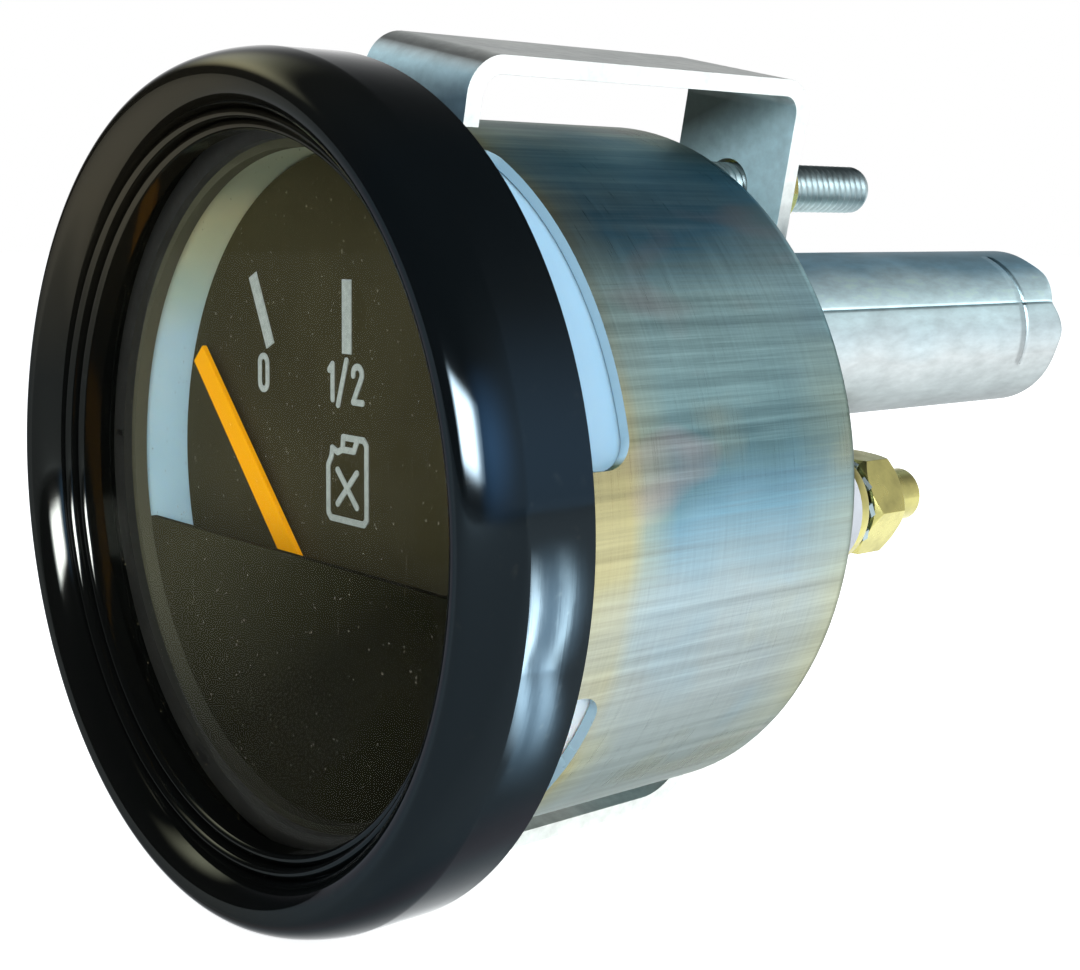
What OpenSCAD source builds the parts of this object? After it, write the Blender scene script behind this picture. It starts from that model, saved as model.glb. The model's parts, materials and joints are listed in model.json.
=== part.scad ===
// Fuel gauge for a dashboard: a round instrument that a U-shaped clamp holds in a panel.
// Origin: on the gauge's axis, in the plane where the bezel seats on the panel.
// The dial faces -Y, the terminals point +Y, and +Z is the dial's upright.
// Lengths are in millimetres.

/* [Bezel] */
// How far the bezel reaches out over the edge of the panel's hole
rim_over = 4.1; // [3.8:0.1:7]
// Height of the bezel in front of the panel
bezel_h = 8.7; // [8.5:0.1:9.6]
// Height of the straight side of the bezel
bezel_side_h = 3.2; // [2:0.1:3.8]
// How far the rounding takes the rim in
bezel_round = 1.9; // [1:0.1:2.2]
// Width of the front roll
roll_w = 2.2; // [1.6:0.1:2.4]
// Height of the groove at the foot of the roll
roll_foot_h = 6.2; // [6:0.1:6.6]
// How far the lip at the lens reaches in from the can's radius
lip_w = 1.5; // [1.4:0.1:2]
// Thickness of the walls beside the groove in the bezel's back
back_wall = 1.2; // [0.8:0.1:1.5]
// Depth of the groove in the bezel's back
back_groove = 3.6; // [1:0.1:3.8]

/* [Lens] */
// Height of the lens's front face above the panel
lens_front_h = 4.2; // [4:0.1:4.6]
// Thickness of the lens
lens_t = 1.8; // [1.4:0.1:2]
// Gap round the lens in the bezel
lens_gap = 0.3; // [0.1:0.1:0.5]
// Thickness of the rubber seal behind the lens
seal_t = 0.7; // [0.4:0.1:1]
// Thickness of the black ring behind the seal
spacer_t = 1; // [0.6:0.1:1.4]
// How far the black ring covers the light ring's inner edge
spacer_cover = 0.3; // [0.1:0.1:0.5]

/* [Housing] */
// Outer radius of the can
housing_r = 26; // [25.5:0.1:28]
// Wall of the can
housing_wall = 0.8; // [0.6:0.1:1]
// Depth of the can behind the panel
housing_depth = 28.5; // [28:0.5:34]
// Outer radius of the can's rear corner
housing_corner_r = 1.5; // [1.2:0.1:1.6]
// Number of light slots round the front of the can
slot_count = 4; // [3:1:6]
// Depth of a light slot behind the panel
slot_depth = 6.7; // [5:0.1:8]
// Angle that a light slot spans
slot_span = 57; // [30:1:58]
// Radius of a slot's corners
slot_corner_r = 2; // [1:0.1:2.4]
// Angle of the first tab between two slots, clockwise from the top
slot_turn = 9; // [0:1:30]

/* [Light ring] */
// Gap between the can and what fits inside it
can_gap = 0.1; // [0.05:0.05:0.2]
// Gap between the bezel's bore and the can
bezel_gap = 0.1; // [0.05:0.05:0.3]
// Wall of the translucent ring
ring_wall = 1.3; // [1:0.1:1.5]
// Where the ring ends behind the panel
ring_end = 12; // [10:0.5:14]
// Width of the ledge that carries the dial
ledge_w = 1.4; // [1:0.1:1.8]
// Thickness of the ledge
ledge_t = 1.5; // [1:0.1:2]

/* [Dial] */
// Depth of the dial's face behind the panel
dial_depth = 3; // [2.8:0.1:3.4]
// Thickness of the dial
dial_t = 0.5; // [0.4:0.1:0.8]
// Height of the printed marks
print_t = 0.08; // [0.06:0.02:0.12]
// Width of a scale mark
mark_w = 1.15; // [0.8:0.05:1.4]
// Stroke of the numbers and the can symbol
stroke_w = 0.46; // [0.36:0.02:0.5]
// Angle from the half mark to either end mark
scale_half_angle = 25.5; // [20:0.5:28]
// Distance of a mark's top from the dial's edge at the upright
mark_inset = 9.3; // [9:0.1:10]
// Length of a mark at the upright
mark_l = 5.3; // [4:0.1:5.6]
// Height of the numbers
number_h = 3; // [2.6:0.1:3.2]
// Gap between a mark and the number under it
number_gap = 0.6; // [0.5:0.1:0.8]
// Width of the petrol can's symbol
can_w = 4.9; // [4:0.1:5]
// Height of the petrol can's symbol
can_h = 6; // [5:0.1:6.2]
// Height of the top edge of the mask below the axis
mask_drop = 5.3; // [4.8:0.1:7]
// Thickness of the mask
mask_t = 0.6; // [0.5:0.1:0.8]

/* [Pointer] */
// Distance of the pivot from the can's outside
pivot_inset = 13.2; // [13:0.1:14]
// Gap between the parked tip and the ring round the dial
tip_gap = 2.6; // [1:0.1:4]
// Width of the blade at the hub
blade_root_w = 2.2; // [1.4:0.1:2.6]
// Width of the blade at the tip
blade_tip_w = 1.9; // [0.8:0.1:2.2]
// Thickness of the blade
blade_t = 0.4; // [0.3:0.05:0.5]
// Gap between the blade and the dial
blade_gap = 0.7; // [0.4:0.1:0.8]
// Angle where the pointer parks, counter-clockwise from the half mark
park_angle = 43.5; // [36:0.5:46]
// Radius of the arbor
arbor_r = 0.5; // [0.4:0.05:0.7]
// Running clearance of the arbor in its bearings
bearing_gap = 0.03; // [0.01:0.01:0.08]
// Distance of the stop pins from the pivot
stop_r = 4.6; // [4:0.1:5.4]
// Radius of a stop pin
stop_pin_r = 0.45; // [0.3:0.05:0.6]
// Radius of the pointer's hub
hub_r = 2.6; // [2.2:0.1:3]
// Thickness of the hub
hub_t = 0.5; // [0.3:0.1:0.8]
// Length of the counterweight's tail
tail_l = 6.5; // [5:0.1:7]

/* [Movement] */
// Thickness of the movement plate
plate_t = 1.2; // [1:0.1:1.6]
// Half width of the square bobbin
bobbin_half = 7; // [6.8:0.1:7.1]
// Depth of the bobbin along the arbor
bobbin_l = 8.8; // [8:0.1:10]
// Depth of a coil's winding
winding_t = 1.2; // [0.8:0.1:1.25]
// Width of one half of a winding
winding_w = 4; // [3:0.1:4.1]
// Radius of the rotor magnet
magnet_r = 4.5; // [3.5:0.1:4.6]
// Wall of the shield round the movement
shield_wall = 0.4; // [0.3:0.1:0.4]
// Thickness of the rear board
board_t = 1.6; // [1.2:0.1:2]
// Gap between the rear board and the can's rear
board_gap = 3.1; // [2.8:0.1:3.5]
// Radius of a pillar between the plate and the board
pillar_r = 1.5; // [1:0.1:1.6]
// Radius of the series resistor
resistor_r = 1.7; // [1.2:0.1:2]
// Length of the series resistor
resistor_l = 10; // [8:0.5:11]

/* [Terminals] */
// Radius of a terminal stud
terminal_r = 1.95; // [1.5:0.05:2.5]
// Distance of a terminal from the can's outside, across the clamp's middle line
terminal_inset = 6; // [5.8:0.1:7]
// Offset of the terminals along the clamp's middle line
terminal_rise = 2.1; // [0:0.1:3]
// Radius of the insulating washer
insulator_r = 4.3; // [4:0.1:4.4]
// Thickness of the insulating washer
insulator_t = 2.1; // [1.5:0.1:3]
// Thickness of the flat washer
washer_t = 1; // [0.5:0.1:1.2]
// Thickness of the toothed washer
lock_t = 1.2; // [0.7:0.1:1.4]
// Width across the flats of the hex nuts
nut_af = 7; // [6:0.1:7.4]
// Thickness of the hex nuts
nut_t = 3.4; // [2.4:0.1:4]
// How far a terminal stud stands out of its nut
terminal_free = 4.4; // [3:0.1:8]

/* [Clamp] */
// Angle of the clamp clockwise from the dial's upright
clamp_turn = 12; // [0:1:20]
// Width of the clamp's strip
strip_w = 12.2; // [10:0.1:12.4]
// Thickness of the clamp's strip
strip_t = 1.33; // [1:0.01:1.6]
// Distance of the upper leg's outer face from the can
upper_leg_gap = 5.45; // [4.5:0.05:8]
// Distance of the lower leg's outer face from the can
lower_leg_gap = 4.3; // [3:0.05:7]
// Gap between the upper leg's foot and the can
foot_gap = 0.5; // [0.3:0.1:1]
// Gap between the can's rear and the clamp's back
clamp_gap = 8.2; // [7:0.1:12]
// Depth of the upper leg's foot behind the panel
foot_depth = 4.5; // [4.2:0.1:6]
// Depth of the lower leg's end behind the panel
lower_end_depth = 3.8; // [3.6:0.1:6]
// Outer radius of the bends
bend_r = 2.8; // [2:0.1:3.4]
// Outer radius of the lower rear bend
lower_bend_r = 5.6; // [4:0.1:6.5]
// Distance of a clamp stud from the can's outside
clamp_stud_inset = 4.1; // [4:0.1:5]
// Radius of a clamp stud
clamp_stud_r = 2; // [1.5:0.05:2.2]
// Length of a clamp stud behind the can
clamp_stud_l = 24.5; // [24:0.5:32]
// Clearance of the studs in the clamp's holes
stud_gap = 0.3; // [0.2:0.05:0.6]

/* [Lamp] */
// Distance of the lamp tube's axis from the can's outside
lamp_inset = 7.81; // [7.7:0.01:7.9]
// Direction of the lamp tube from the gauge's axis, clockwise from the top
lamp_angle = 56.66; // [56:0.01:58]
// Outer radius of the lamp tube
lamp_r = 6.27; // [6:0.01:6.3]
// Wall of the lamp tube
lamp_wall = 0.5; // [0.4:0.05:0.7]
// Length of the lamp tube behind the can
lamp_out = 32.6; // [28:0.1:40]
// Length of the lamp tube inside the can
lamp_in = 8.5; // [6:0.1:9]
// Sliding clearance of the lamp tube in the can
lamp_gap = 0.06; // [0.02:0.01:0.1]
// Depth of the tube's domed end
dome_l = 2.6; // [2.4:0.1:5]
// Distance from the tube's end to the cross slit
slit_from_end = 6.9; // [6:0.1:10]
// Width of the seam and of the cross slit
slit_w = 0.3; // [0.2:0.05:0.5]
// Direction of the seam, clockwise from the top
seam_angle = 69; // [0:1:180]
// Radius of a pressed bump on the dome
bump_r = 1.1; // [0.8:0.1:1.2]
// Radius of the bulb's cap
cap_r = 4.6; // [4.4:0.1:4.8]
// Length of the bulb's cap
cap_l = 9; // [8:0.5:10]
// Radius of the bulb's glass
glass_r = 4.3; // [4:0.1:4.4]
// Length of the bulb's glass
glass_l = 9.5; // [8:0.5:12]
// Radius of the centre contact's rod
contact_r = 1.2; // [0.8:0.1:1.4]
// Radius of the centre contact's ends
contact_head_r = 2; // [1.6:0.1:2.2]
// Outer radius of the contact's spring
spring_r = 2.6; // [2:0.1:3]
// Wall of the spring's sleeve
spring_wall = 0.5; // [0.3:0.1:0.8]

/* [Hidden] */

round_fn = 96;
small_fn = 48;
tiny = 0.01;
hole_gap = 0.1;
through = 1;

// Depths along the axis, counted from the panel plane towards the back
lens_back_y = lens_t - lens_front_h;
seal_back_y = lens_back_y + seal_t;
spacer_back_y = seal_back_y + spacer_t;
dial_back_y = dial_depth + dial_t;
plate_back_y = dial_back_y + plate_t;
rear_inside_y = housing_depth - housing_wall;
mask_front_y = spacer_back_y;
mask_back_y = mask_front_y + mask_t;

// Radii of the can, the bezel and what lies inside
bore_r = housing_r + bezel_gap;
bezel_r = housing_r + rim_over;
lip_r = housing_r - lip_w;
lens_r = bore_r - lens_gap;
can_inner_r = housing_r - housing_wall;
ring_r = can_inner_r - can_gap;
ring_inner_r = ring_r - ring_wall;
dial_gap = 0.2;
dial_r = ring_inner_r - dial_gap;
plate_gap = 0.3;
plate_r = ring_inner_r - ledge_w - plate_gap;

// A place at a distance from the axis and an angle clockwise from the top
function at_angle(distance, angle) = [distance * sin(angle), distance * cos(angle)];

// Scale
mark_high_z = dial_r - mark_inset;
mark_low_z = mark_high_z - mark_l;
number_z = mark_low_z - number_gap - number_h / 2;

// Pointer: its length puts the parked tip at the named gap from the ring
pivot_drop = housing_r - pivot_inset;
pivot = [0, -pivot_drop];
tip_r = ring_inner_r - tip_gap;
blade_l = pivot_drop * cos(park_angle) + sqrt(pow(tip_r, 2) - pow(pivot_drop * sin(park_angle), 2));
blade_back_y = dial_depth - blade_gap;
blade_front_y = blade_back_y - blade_t;
hub_front_y = blade_front_y - hub_t;
arbor_hole_gap = 0.5;
arbor_hole_r = arbor_r + arbor_hole_gap;

// Movement, round the pivot
coil_space = 0.06;
layer_t = winding_t + coil_space;
plate_space = 0.1;
bobbin_front_y = plate_back_y + plate_space + 2 * layer_t;
bobbin_back_y = bobbin_front_y + bobbin_l;
bobbin_mid_y = bobbin_front_y + bobbin_l / 2;
bobbin_wall = 1.2;
magnet_gap = 0.5;
cavity_r = magnet_r + magnet_gap;
winding_gap = 1.4;
bearing_r = 1.5;
arbor_end_y = bobbin_back_y - 0.3;
post_r = 0.6;
post_at = bobbin_half - post_r - 0.05;
shield_space = 1.08;
shield_r = bobbin_half + 2 * layer_t + shield_space;
shield_front_y = plate_back_y + 0.9;
shield_back_y = bobbin_back_y + 2 * layer_t + shield_wall + 0.8;

// Rear board and what stands on it
board_back_y = rear_inside_y - board_gap;
board_front_y = board_back_y - board_t;
board_edge_gap = 1.7;
board_r = can_inner_r - board_edge_gap;
pillar_at = plate_r - 2 * pillar_r;
pillar_places = [for (angle = [-49, 0, -117, 121]) at_angle(pillar_at, angle)];
resistor_z = shield_r - pivot_drop + 10.2;

// Screws and posts of the dial, clear of the pointer's sweep
screw_r = 0.8;
screw_head_r = 1.5;
screw_head_t = 0.7;
mask_post_r = 1.2;
dial_screw_places = [for (side = [-1, 1]) at_angle(plate_r - 2 * screw_r - 0.2, side * 142)];
mask_post_places = [for (side = [-1, 1]) at_angle(dial_r - 3.9, side * 117)];

// Terminals: the two lie side by side across the clamp's middle line
function along_clamp(side, rise) = [
    side * cos(clamp_turn) + rise * sin(clamp_turn),
    rise * cos(clamp_turn) - side * sin(clamp_turn)
];
terminal_side = housing_r - terminal_inset;
terminal_right = along_clamp(terminal_side, terminal_rise);
terminal_left = along_clamp(-terminal_side, terminal_rise);
terminals = [terminal_right, terminal_left];
insulator_back_y = housing_depth + insulator_t;
washer_back_y = insulator_back_y + washer_t;
lock_back_y = washer_back_y + lock_t;
terminal_nut_back_y = lock_back_y + nut_t;
terminal_end_y = terminal_nut_back_y + terminal_free;
terminal_head_t = 1.8;
thread_gap = 0.05;
relief_t = 0.4;
relief_l = 0.6;
relief_from_nut = 0.3;
neck_wall = 0.75;
neck_r = terminal_r + neck_wall;
flange_w = 0.9;

// Clamp
clamp_back_y = housing_depth + clamp_gap;
clamp_outer_y = clamp_back_y + strip_t;
clamp_stud_end_y = housing_depth + clamp_stud_l;
clamp_stud_at = housing_r - clamp_stud_inset;
stud_head_r = clamp_stud_r + 0.6;
stud_head_t = 1;
foot_r = housing_r + foot_gap;
upper_leg = housing_r + upper_leg_gap;
lower_leg = housing_r + lower_leg_gap;

// Lamp
lamp_place = at_angle(housing_r - lamp_inset, lamp_angle);
lamp_front_y = housing_depth - lamp_in;
lamp_end_y = housing_depth + lamp_out;
lamp_inner_r = lamp_r - lamp_wall;
dome_flat_r = 3.27;
dome_opening_r = dome_flat_r + 0.13;
slit_y = lamp_end_y - slit_from_end;
bulb_inset = 5;
cap_front_y = lamp_front_y + bulb_inset;
cap_back_y = cap_front_y + cap_l;
cap_button_l = 0.9;
contact_plate_t = 0.8;
contact_plate_y = cap_back_y + cap_button_l;
insulator_front_y = slit_y - 1.5;
insulator_rear_y = lamp_end_y - lamp_wall - 0.2;

// A solid of revolution: the outline is radius across and depth along the gauge's axis
module turned(fn = round_fn) {
    rotate([-90, 0, 0]) rotate_extrude($fn = fn) children();
}

// A round bar along the gauge's axis from y0 to y1 at a place [x, z]
module bar(place, r, y0, y1, fn = small_fn) {
    translate([place[0], y0, place[1]]) rotate([-90, 0, 0]) cylinder(r = r, h = y1 - y0, $fn = fn);
}

// A ring along the gauge's axis from y0 to y1
module ring(place, r_out, r_in, y0, y1, fn = small_fn) {
    difference() {
        bar(place, r_out, y0, y1, fn);
        bar(place, r_in, y0 - 1, y1 + 1, fn);
    }
}

// Extrudes an outline drawn across and upwards from depth y0 to y1
module slab(y0, y1) {
    translate([0, y1, 0]) rotate([90, 0, 0]) linear_extrude(height = y1 - y0) children();
}

// Turns its children clockwise about the gauge's axis, as seen from the dial
module turn_to(angle) {
    rotate([0, angle, 0]) children();
}

// A stroke of even width with round ends between two points
module stroke(a, b, w = stroke_w) {
    d = b - a;
    translate(a) rotate(atan2(d[1], d[0])) translate([0, -w / 2]) square([norm(d), w]);
    translate(a) circle(d = w, $fn = 24);
    translate(b) circle(d = w, $fn = 24);
}

// Points of an ellipse's arc, for an outline
function arc(centre, radii, from, to, steps = 10) = [
    for (i = [0 : steps])
        let (a = from + (to - from) * i / steps)
        centre + [radii[0] * cos(a), radii[1] * sin(a)]
];

// Hexagonal nut or head with bevelled corners and a bore
module hex_nut(place, af, y0, y1, bore, turn = 0) {
    corner_r = af / sqrt(3);
    bevel = 0.5;
    translate([place[0], y0, place[1]]) rotate([-90, 0, 0]) difference() {
        intersection() {
            rotate(turn) cylinder(r = corner_r, h = y1 - y0, $fn = 6);
            rotate_extrude($fn = small_fn) polygon([
                [0, 0], [corner_r - bevel, 0], [corner_r, bevel],
                [corner_r, y1 - y0 - bevel], [corner_r - bevel, y1 - y0], [0, y1 - y0]
            ]);
        }
        if (bore > 0) translate([0, 0, -1]) cylinder(r = bore, h = y1 - y0 + 2, $fn = small_fn);
    }
}

module bezel() {
    crest_r = bezel_r - bezel_round;
    roll_inner_r = crest_r - roll_w;
    roll_h = bezel_h - roll_foot_h;
    bead_mid_r = roll_inner_r - 0.38;
    bead_out_r = 0.37;
    bead_foot = roll_foot_h - 0.7;
    edge_mid_r = lip_r + 0.38;
    color("#14161b") turned() difference() {
        polygon(concat(
            [[bore_r, 0], [bezel_r, 0]],
            arc([crest_r, -bezel_side_h], [bezel_round, bezel_h - bezel_side_h], 0, -90),
            arc([crest_r, -roll_foot_h], [roll_w, roll_h], -90, -180),
            arc([bead_mid_r, -roll_foot_h], [bead_out_r, 0.5], 0, -180, 8),
            arc([edge_mid_r, -bead_foot], [edge_mid_r - lip_r, 0.45], 0, -180, 8),
            [[lip_r, -lens_front_h], [bore_r, -lens_front_h]]
        ));
        translate([bore_r + back_wall, -back_groove])
            square([bezel_r - bore_r - 2 * back_wall, back_groove + through]);
    }
}

module lens() {
    bevel = 0.25;
    color("#dfe9ee", 0.35) turned() polygon([
        [0, -lens_front_h], [lens_r - bevel, -lens_front_h], [lens_r, bevel - lens_front_h],
        [lens_r, lens_back_y - bevel], [lens_r - bevel, lens_back_y], [0, lens_back_y]
    ]);
}

module lens_seal() {
    seal_reach = 0.4;
    color("#0e0e0f") ring([0, 0], lens_r, lip_r - seal_reach, lens_back_y, seal_back_y, round_fn);
}

module spacer_ring() {
    color("#15130f") ring([0, 0], ring_r, ring_inner_r - spacer_cover, seal_back_y, spacer_back_y, round_fn);
}

// One light slot, open to the front, with round corners at the back
module light_slot() {
    from_r = can_inner_r - through;
    reach = housing_wall + 2 * through;
    corner_angle = slot_corner_r / housing_r * 180 / PI;
    start_y = seal_back_y - through;
    rotate([-90, 0, 0]) translate([0, 0, start_y]) {
        rotate([0, 0, -90 - slot_span / 2])
            rotate_extrude(angle = slot_span, $fn = round_fn)
                translate([from_r, 0]) square([reach, slot_depth - slot_corner_r - start_y]);
        rotate([0, 0, -90 - slot_span / 2 + corner_angle])
            rotate_extrude(angle = slot_span - 2 * corner_angle, $fn = round_fn)
                translate([from_r, 0]) square([reach, slot_depth - start_y]);
    }
    for (side = [-1, 1])
        turn_to(side * (slot_span / 2 - corner_angle))
            translate([0, slot_depth - slot_corner_r, from_r])
                cylinder(r = slot_corner_r, h = reach, $fn = small_fn);
}

// A hole through the can's rear wall
module rear_hole(place, r, fn = small_fn) {
    bar(place, r, rear_inside_y - through, housing_depth + through, fn);
}

module housing() {
    inner_corner_r = housing_corner_r - housing_wall;
    color("#9aa0a0") difference() {
        turned() polygon(concat(
            [[can_inner_r, seal_back_y], [housing_r, seal_back_y]],
            arc([housing_r - housing_corner_r, housing_depth - housing_corner_r],
                [housing_corner_r, housing_corner_r], 0, 90, 8),
            [[0, housing_depth], [0, rear_inside_y]],
            arc([can_inner_r - inner_corner_r, rear_inside_y - inner_corner_r],
                [inner_corner_r, inner_corner_r], 90, 0, 6)
        ));
        for (i = [0 : slot_count - 1])
            turn_to(slot_turn + (i + 0.5) * 360 / slot_count) light_slot();
        rear_hole(lamp_place, lamp_r + lamp_gap, round_fn);
        for (place = terminals) rear_hole(place, neck_r + hole_gap);
        for (side = [1, -1]) rear_hole(along_clamp(0, side * clamp_stud_at), clamp_stud_r);
    }
}

module light_ring() {
    color("#b9d3e2") turned() polygon([
        [ring_inner_r, spacer_back_y], [ring_r, spacer_back_y], [ring_r, ring_end],
        [ring_inner_r, ring_end], [ring_inner_r, dial_back_y + ledge_t],
        [ring_inner_r - ledge_w, dial_back_y + ledge_t], [ring_inner_r - ledge_w, dial_back_y],
        [ring_inner_r, dial_back_y]
    ]);
}

module dial() {
    color("#2a251c") difference() {
        bar([0, 0], dial_r, dial_depth, dial_back_y, round_fn);
        bar(pivot, arbor_hole_r, dial_depth - through, dial_back_y + through);
        for (place = dial_screw_places)
            bar(place, screw_r + hole_gap, dial_depth - through, dial_back_y + through);
    }
}

// A scale mark on the ray from the pivot at an angle clockwise from the upright
module scale_mark(angle) {
    low = pivot_drop + mark_low_z;
    high = pivot_drop + mark_high_z;
    translate(pivot) rotate(-angle) translate([-mark_w / 2, low / cos(angle)])
        square([mark_w, (high - low) / cos(angle)]);
}

// The numbers are drawn round their middle: the strokes' centre lines reach half_h up and down
half_h = (number_h - stroke_w) / 2;
curl_r = 0.43 * half_h;

module digit_zero() {
    outer_r = curl_r + stroke_w / 2;
    straight = half_h - curl_r;
    difference() {
        stroke([0, -straight], [0, straight], 2 * outer_r);
        stroke([0, -straight], [0, straight], 2 * outer_r - 2 * stroke_w);
    }
}

module digit_one() {
    stroke([0, -half_h], [0, half_h]);
    stroke([0, half_h], [-0.75 * curl_r, half_h - 0.8 * curl_r]);
}

// An open curl down to the right, a slanted stroke and a foot
module digit_two() {
    curl_z = half_h - curl_r;
    open_angle = -35;
    for (step = [0 : 11]) {
        from = 190 - (190 - open_angle) * step / 12;
        to = 190 - (190 - open_angle) * (step + 1) / 12;
        stroke([0, curl_z] + curl_r * [cos(from), sin(from)], [0, curl_z] + curl_r * [cos(to), sin(to)]);
    }
    stroke([0, curl_z] + curl_r * [cos(open_angle), sin(open_angle)], [-curl_r, -half_h]);
    stroke([-curl_r, -half_h], [curl_r * 1.1, -half_h]);
}

module half_label() {
    step = 1.6;
    slash_rise = 0.35;
    translate([-step - 0.25, number_z]) digit_one();
    stroke([-step / 2 - 0.35, number_z - half_h - slash_rise], [step / 2 - 0.85, number_z + half_h + slash_rise]);
    translate([step - 0.25, number_z]) digit_two();
}

// Petrol can: its outline, the neck, the handle and the pressed cross on its side
module can_symbol() {
    side = can_w / 2;
    top = can_h / 2;
    shoulder = top - 1;
    neck_w = 0.5;
    corner = 0.35;
    cross = 0.5 * side;
    cross_z = -0.22 * top;
    body = [
        [-0.78 * side, shoulder + 0.1], [-0.82 * side, shoulder - neck_w],
        [-side, shoulder - 1.2], [-side, corner - top], [corner - side, -top],
        [side - corner, -top], [side, corner - top], [side, top - corner],
        [side - corner, top], [-0.2 * side, top], [-0.24 * side, shoulder + 0.1],
        [-0.5 * side, shoulder - 0.15], [-0.78 * side, shoulder + 0.1]
    ];
    for (i = [0 : len(body) - 2]) stroke(body[i], body[i + 1]);
    stroke([-0.24 * side, shoulder + 0.1], [0.35 * side, shoulder + 0.1]);
    stroke([0.35 * side, shoulder + 0.1], [0.55 * side, top]);
    stroke([-cross, cross_z + cross], [cross, cross_z - cross]);
    stroke([cross, cross_z + cross], [-cross, cross_z - cross]);
}

module dial_markings() {
    end_number_x = (pivot_drop + mark_low_z) * tan(scale_half_angle) + 1;
    color("#c9ccc8") slab(dial_depth - print_t, dial_depth) {
        for (side = [-1, 0, 1]) scale_mark(side * scale_half_angle);
        translate([-end_number_x, number_z]) digit_zero();
        translate([end_number_x, number_z]) digit_one();
        half_label();
        can_symbol();
    }
}

module dial_screws() {
    slot_w = 0.4;
    color("#1c1c1c") for (place = dial_screw_places) difference() {
        union() {
            bar(place, screw_r, dial_depth - tiny, plate_back_y, 24);
            bar(place, screw_head_r, dial_depth - screw_head_t, dial_depth, small_fn);
        }
        translate([place[0], dial_depth - screw_head_t, place[1]]) rotate([0, 35, 0])
            cube([3 * screw_head_r, screw_head_t, slot_w], center = true);
    }
}

module mask_plate() {
    color("#2b2620") difference() {
        bar([0, 0], dial_r, mask_front_y, mask_back_y, round_fn);
        translate([-2 * dial_r, mask_front_y - through, -mask_drop])
            cube([4 * dial_r, mask_t + 2 * through, 3 * dial_r]);
    }
}

module mask_posts() {
    color("#2b2620") for (place = mask_post_places)
        bar(place, mask_post_r, mask_back_y, dial_depth);
}

module pointer_blade() {
    color("#ff9d0a") translate([pivot[0], 0, pivot[1]]) turn_to(-park_angle)
        slab(blade_front_y, blade_back_y) difference() {
            union() {
                polygon([
                    [-blade_root_w / 2, 0], [blade_root_w / 2, 0],
                    [blade_tip_w / 2, blade_l], [-blade_tip_w / 2, blade_l]
                ]);
                circle(r = 0.8 * hub_r, $fn = small_fn);
            }
            circle(r = arbor_r, $fn = small_fn);
        }
}

// Hub with the counterweight's tail, in front of the blade
module pointer_hub() {
    weight_r = 2;
    tail_w = 2.4;
    color("#191919") translate([pivot[0], 0, pivot[1]]) turn_to(-park_angle)
        slab(hub_front_y, blade_front_y) difference() {
            union() {
                circle(r = hub_r, $fn = small_fn);
                translate([-tail_w / 2, -tail_l]) square([tail_w, tail_l]);
                translate([0, -tail_l]) circle(r = weight_r, $fn = small_fn);
            }
            circle(r = arbor_r, $fn = small_fn);
        }
}

module pointer_arbor() {
    point_l = 0.5;
    point_r = 0.1;
    color("#b8bcc0") translate([pivot[0], 0, pivot[1]]) turned(small_fn) polygon([
        [0, hub_front_y], [arbor_r, hub_front_y], [arbor_r, arbor_end_y - point_l],
        [point_r, arbor_end_y], [0, arbor_end_y]
    ]);
}

module rotor_magnet() {
    gap = 0.6;
    color("#4a4a4e") ring(pivot, magnet_r, arbor_r, bobbin_front_y + bobbin_wall + gap,
        bobbin_back_y - bobbin_wall - gap);
}

// Pins behind the blade, one for each end of its sweep
module stop_pins() {
    clear = 0.08;
    swing = asin((blade_root_w / 2 + stop_pin_r + clear) / stop_r);
    color("#b0a070") for (side = [-1, 1])
        translate([pivot[0], 0, pivot[1]]) turn_to(side * (park_angle + swing))
            bar([0, stop_r], stop_pin_r, blade_front_y + clear, dial_depth, 24);
}

module movement_plate() {
    window_r = glass_r + 1;
    from_y = dial_back_y - through;
    to_y = plate_back_y + through;
    color("#c8c9c4") difference() {
        bar([0, 0], plate_r, dial_back_y, plate_back_y, round_fn);
        bar(pivot, bearing_r, from_y, to_y);
        bar(at_angle(plate_r - window_r - through, lamp_angle), window_r, from_y, to_y);
        for (place = dial_screw_places) bar(place, screw_r, from_y, to_y, 24);
    }
}

module front_bearing() {
    color("#c9a24a") ring(pivot, bearing_r, arbor_r + bearing_gap, dial_back_y, plate_back_y);
}

// Blind bush that the arbor's point runs in
module rear_bearing() {
    color("#c9a24a") difference() {
        bar(pivot, bearing_r, bobbin_back_y - bobbin_wall, bobbin_back_y);
        bar(pivot, arbor_r + bearing_gap, bobbin_back_y - bobbin_wall - through, arbor_end_y + hole_gap);
    }
}

// Half of the square bobbin, with the round space for the magnet
module bobbin_half_body(y0, y1, cavity_y0, cavity_y1) {
    difference() {
        translate([pivot[0] - bobbin_half, y0, pivot[1] - bobbin_half])
            cube([2 * bobbin_half, y1 - y0, 2 * bobbin_half]);
        bar(pivot, cavity_r, cavity_y0, cavity_y1);
    }
}

// The four corners of the bobbin, outside the windings
module at_corners() {
    for (sx = [-1, 1], sz = [-1, 1])
        translate([pivot[0] + sx * post_at, 0, pivot[1] + sz * post_at]) children();
}

module bobbin_front() {
    color("#e6e2d4") {
        difference() {
            bobbin_half_body(bobbin_front_y, bobbin_mid_y, bobbin_front_y + bobbin_wall,
                bobbin_mid_y + through);
            bar(pivot, arbor_hole_r, bobbin_front_y - through, bobbin_mid_y);
        }
        at_corners() bar([0, 0], post_r, plate_back_y, bobbin_front_y + tiny, 24);
    }
}

module bobbin_rear() {
    color("#e6e2d4") {
        difference() {
            bobbin_half_body(bobbin_mid_y, bobbin_back_y, bobbin_mid_y - through,
                bobbin_back_y - bobbin_wall);
            bar(pivot, bearing_r, bobbin_mid_y, bobbin_back_y + through);
        }
        at_corners() bar([0, 0], post_r, bobbin_back_y - tiny, shield_back_y - shield_wall, 24);
    }
}

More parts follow.
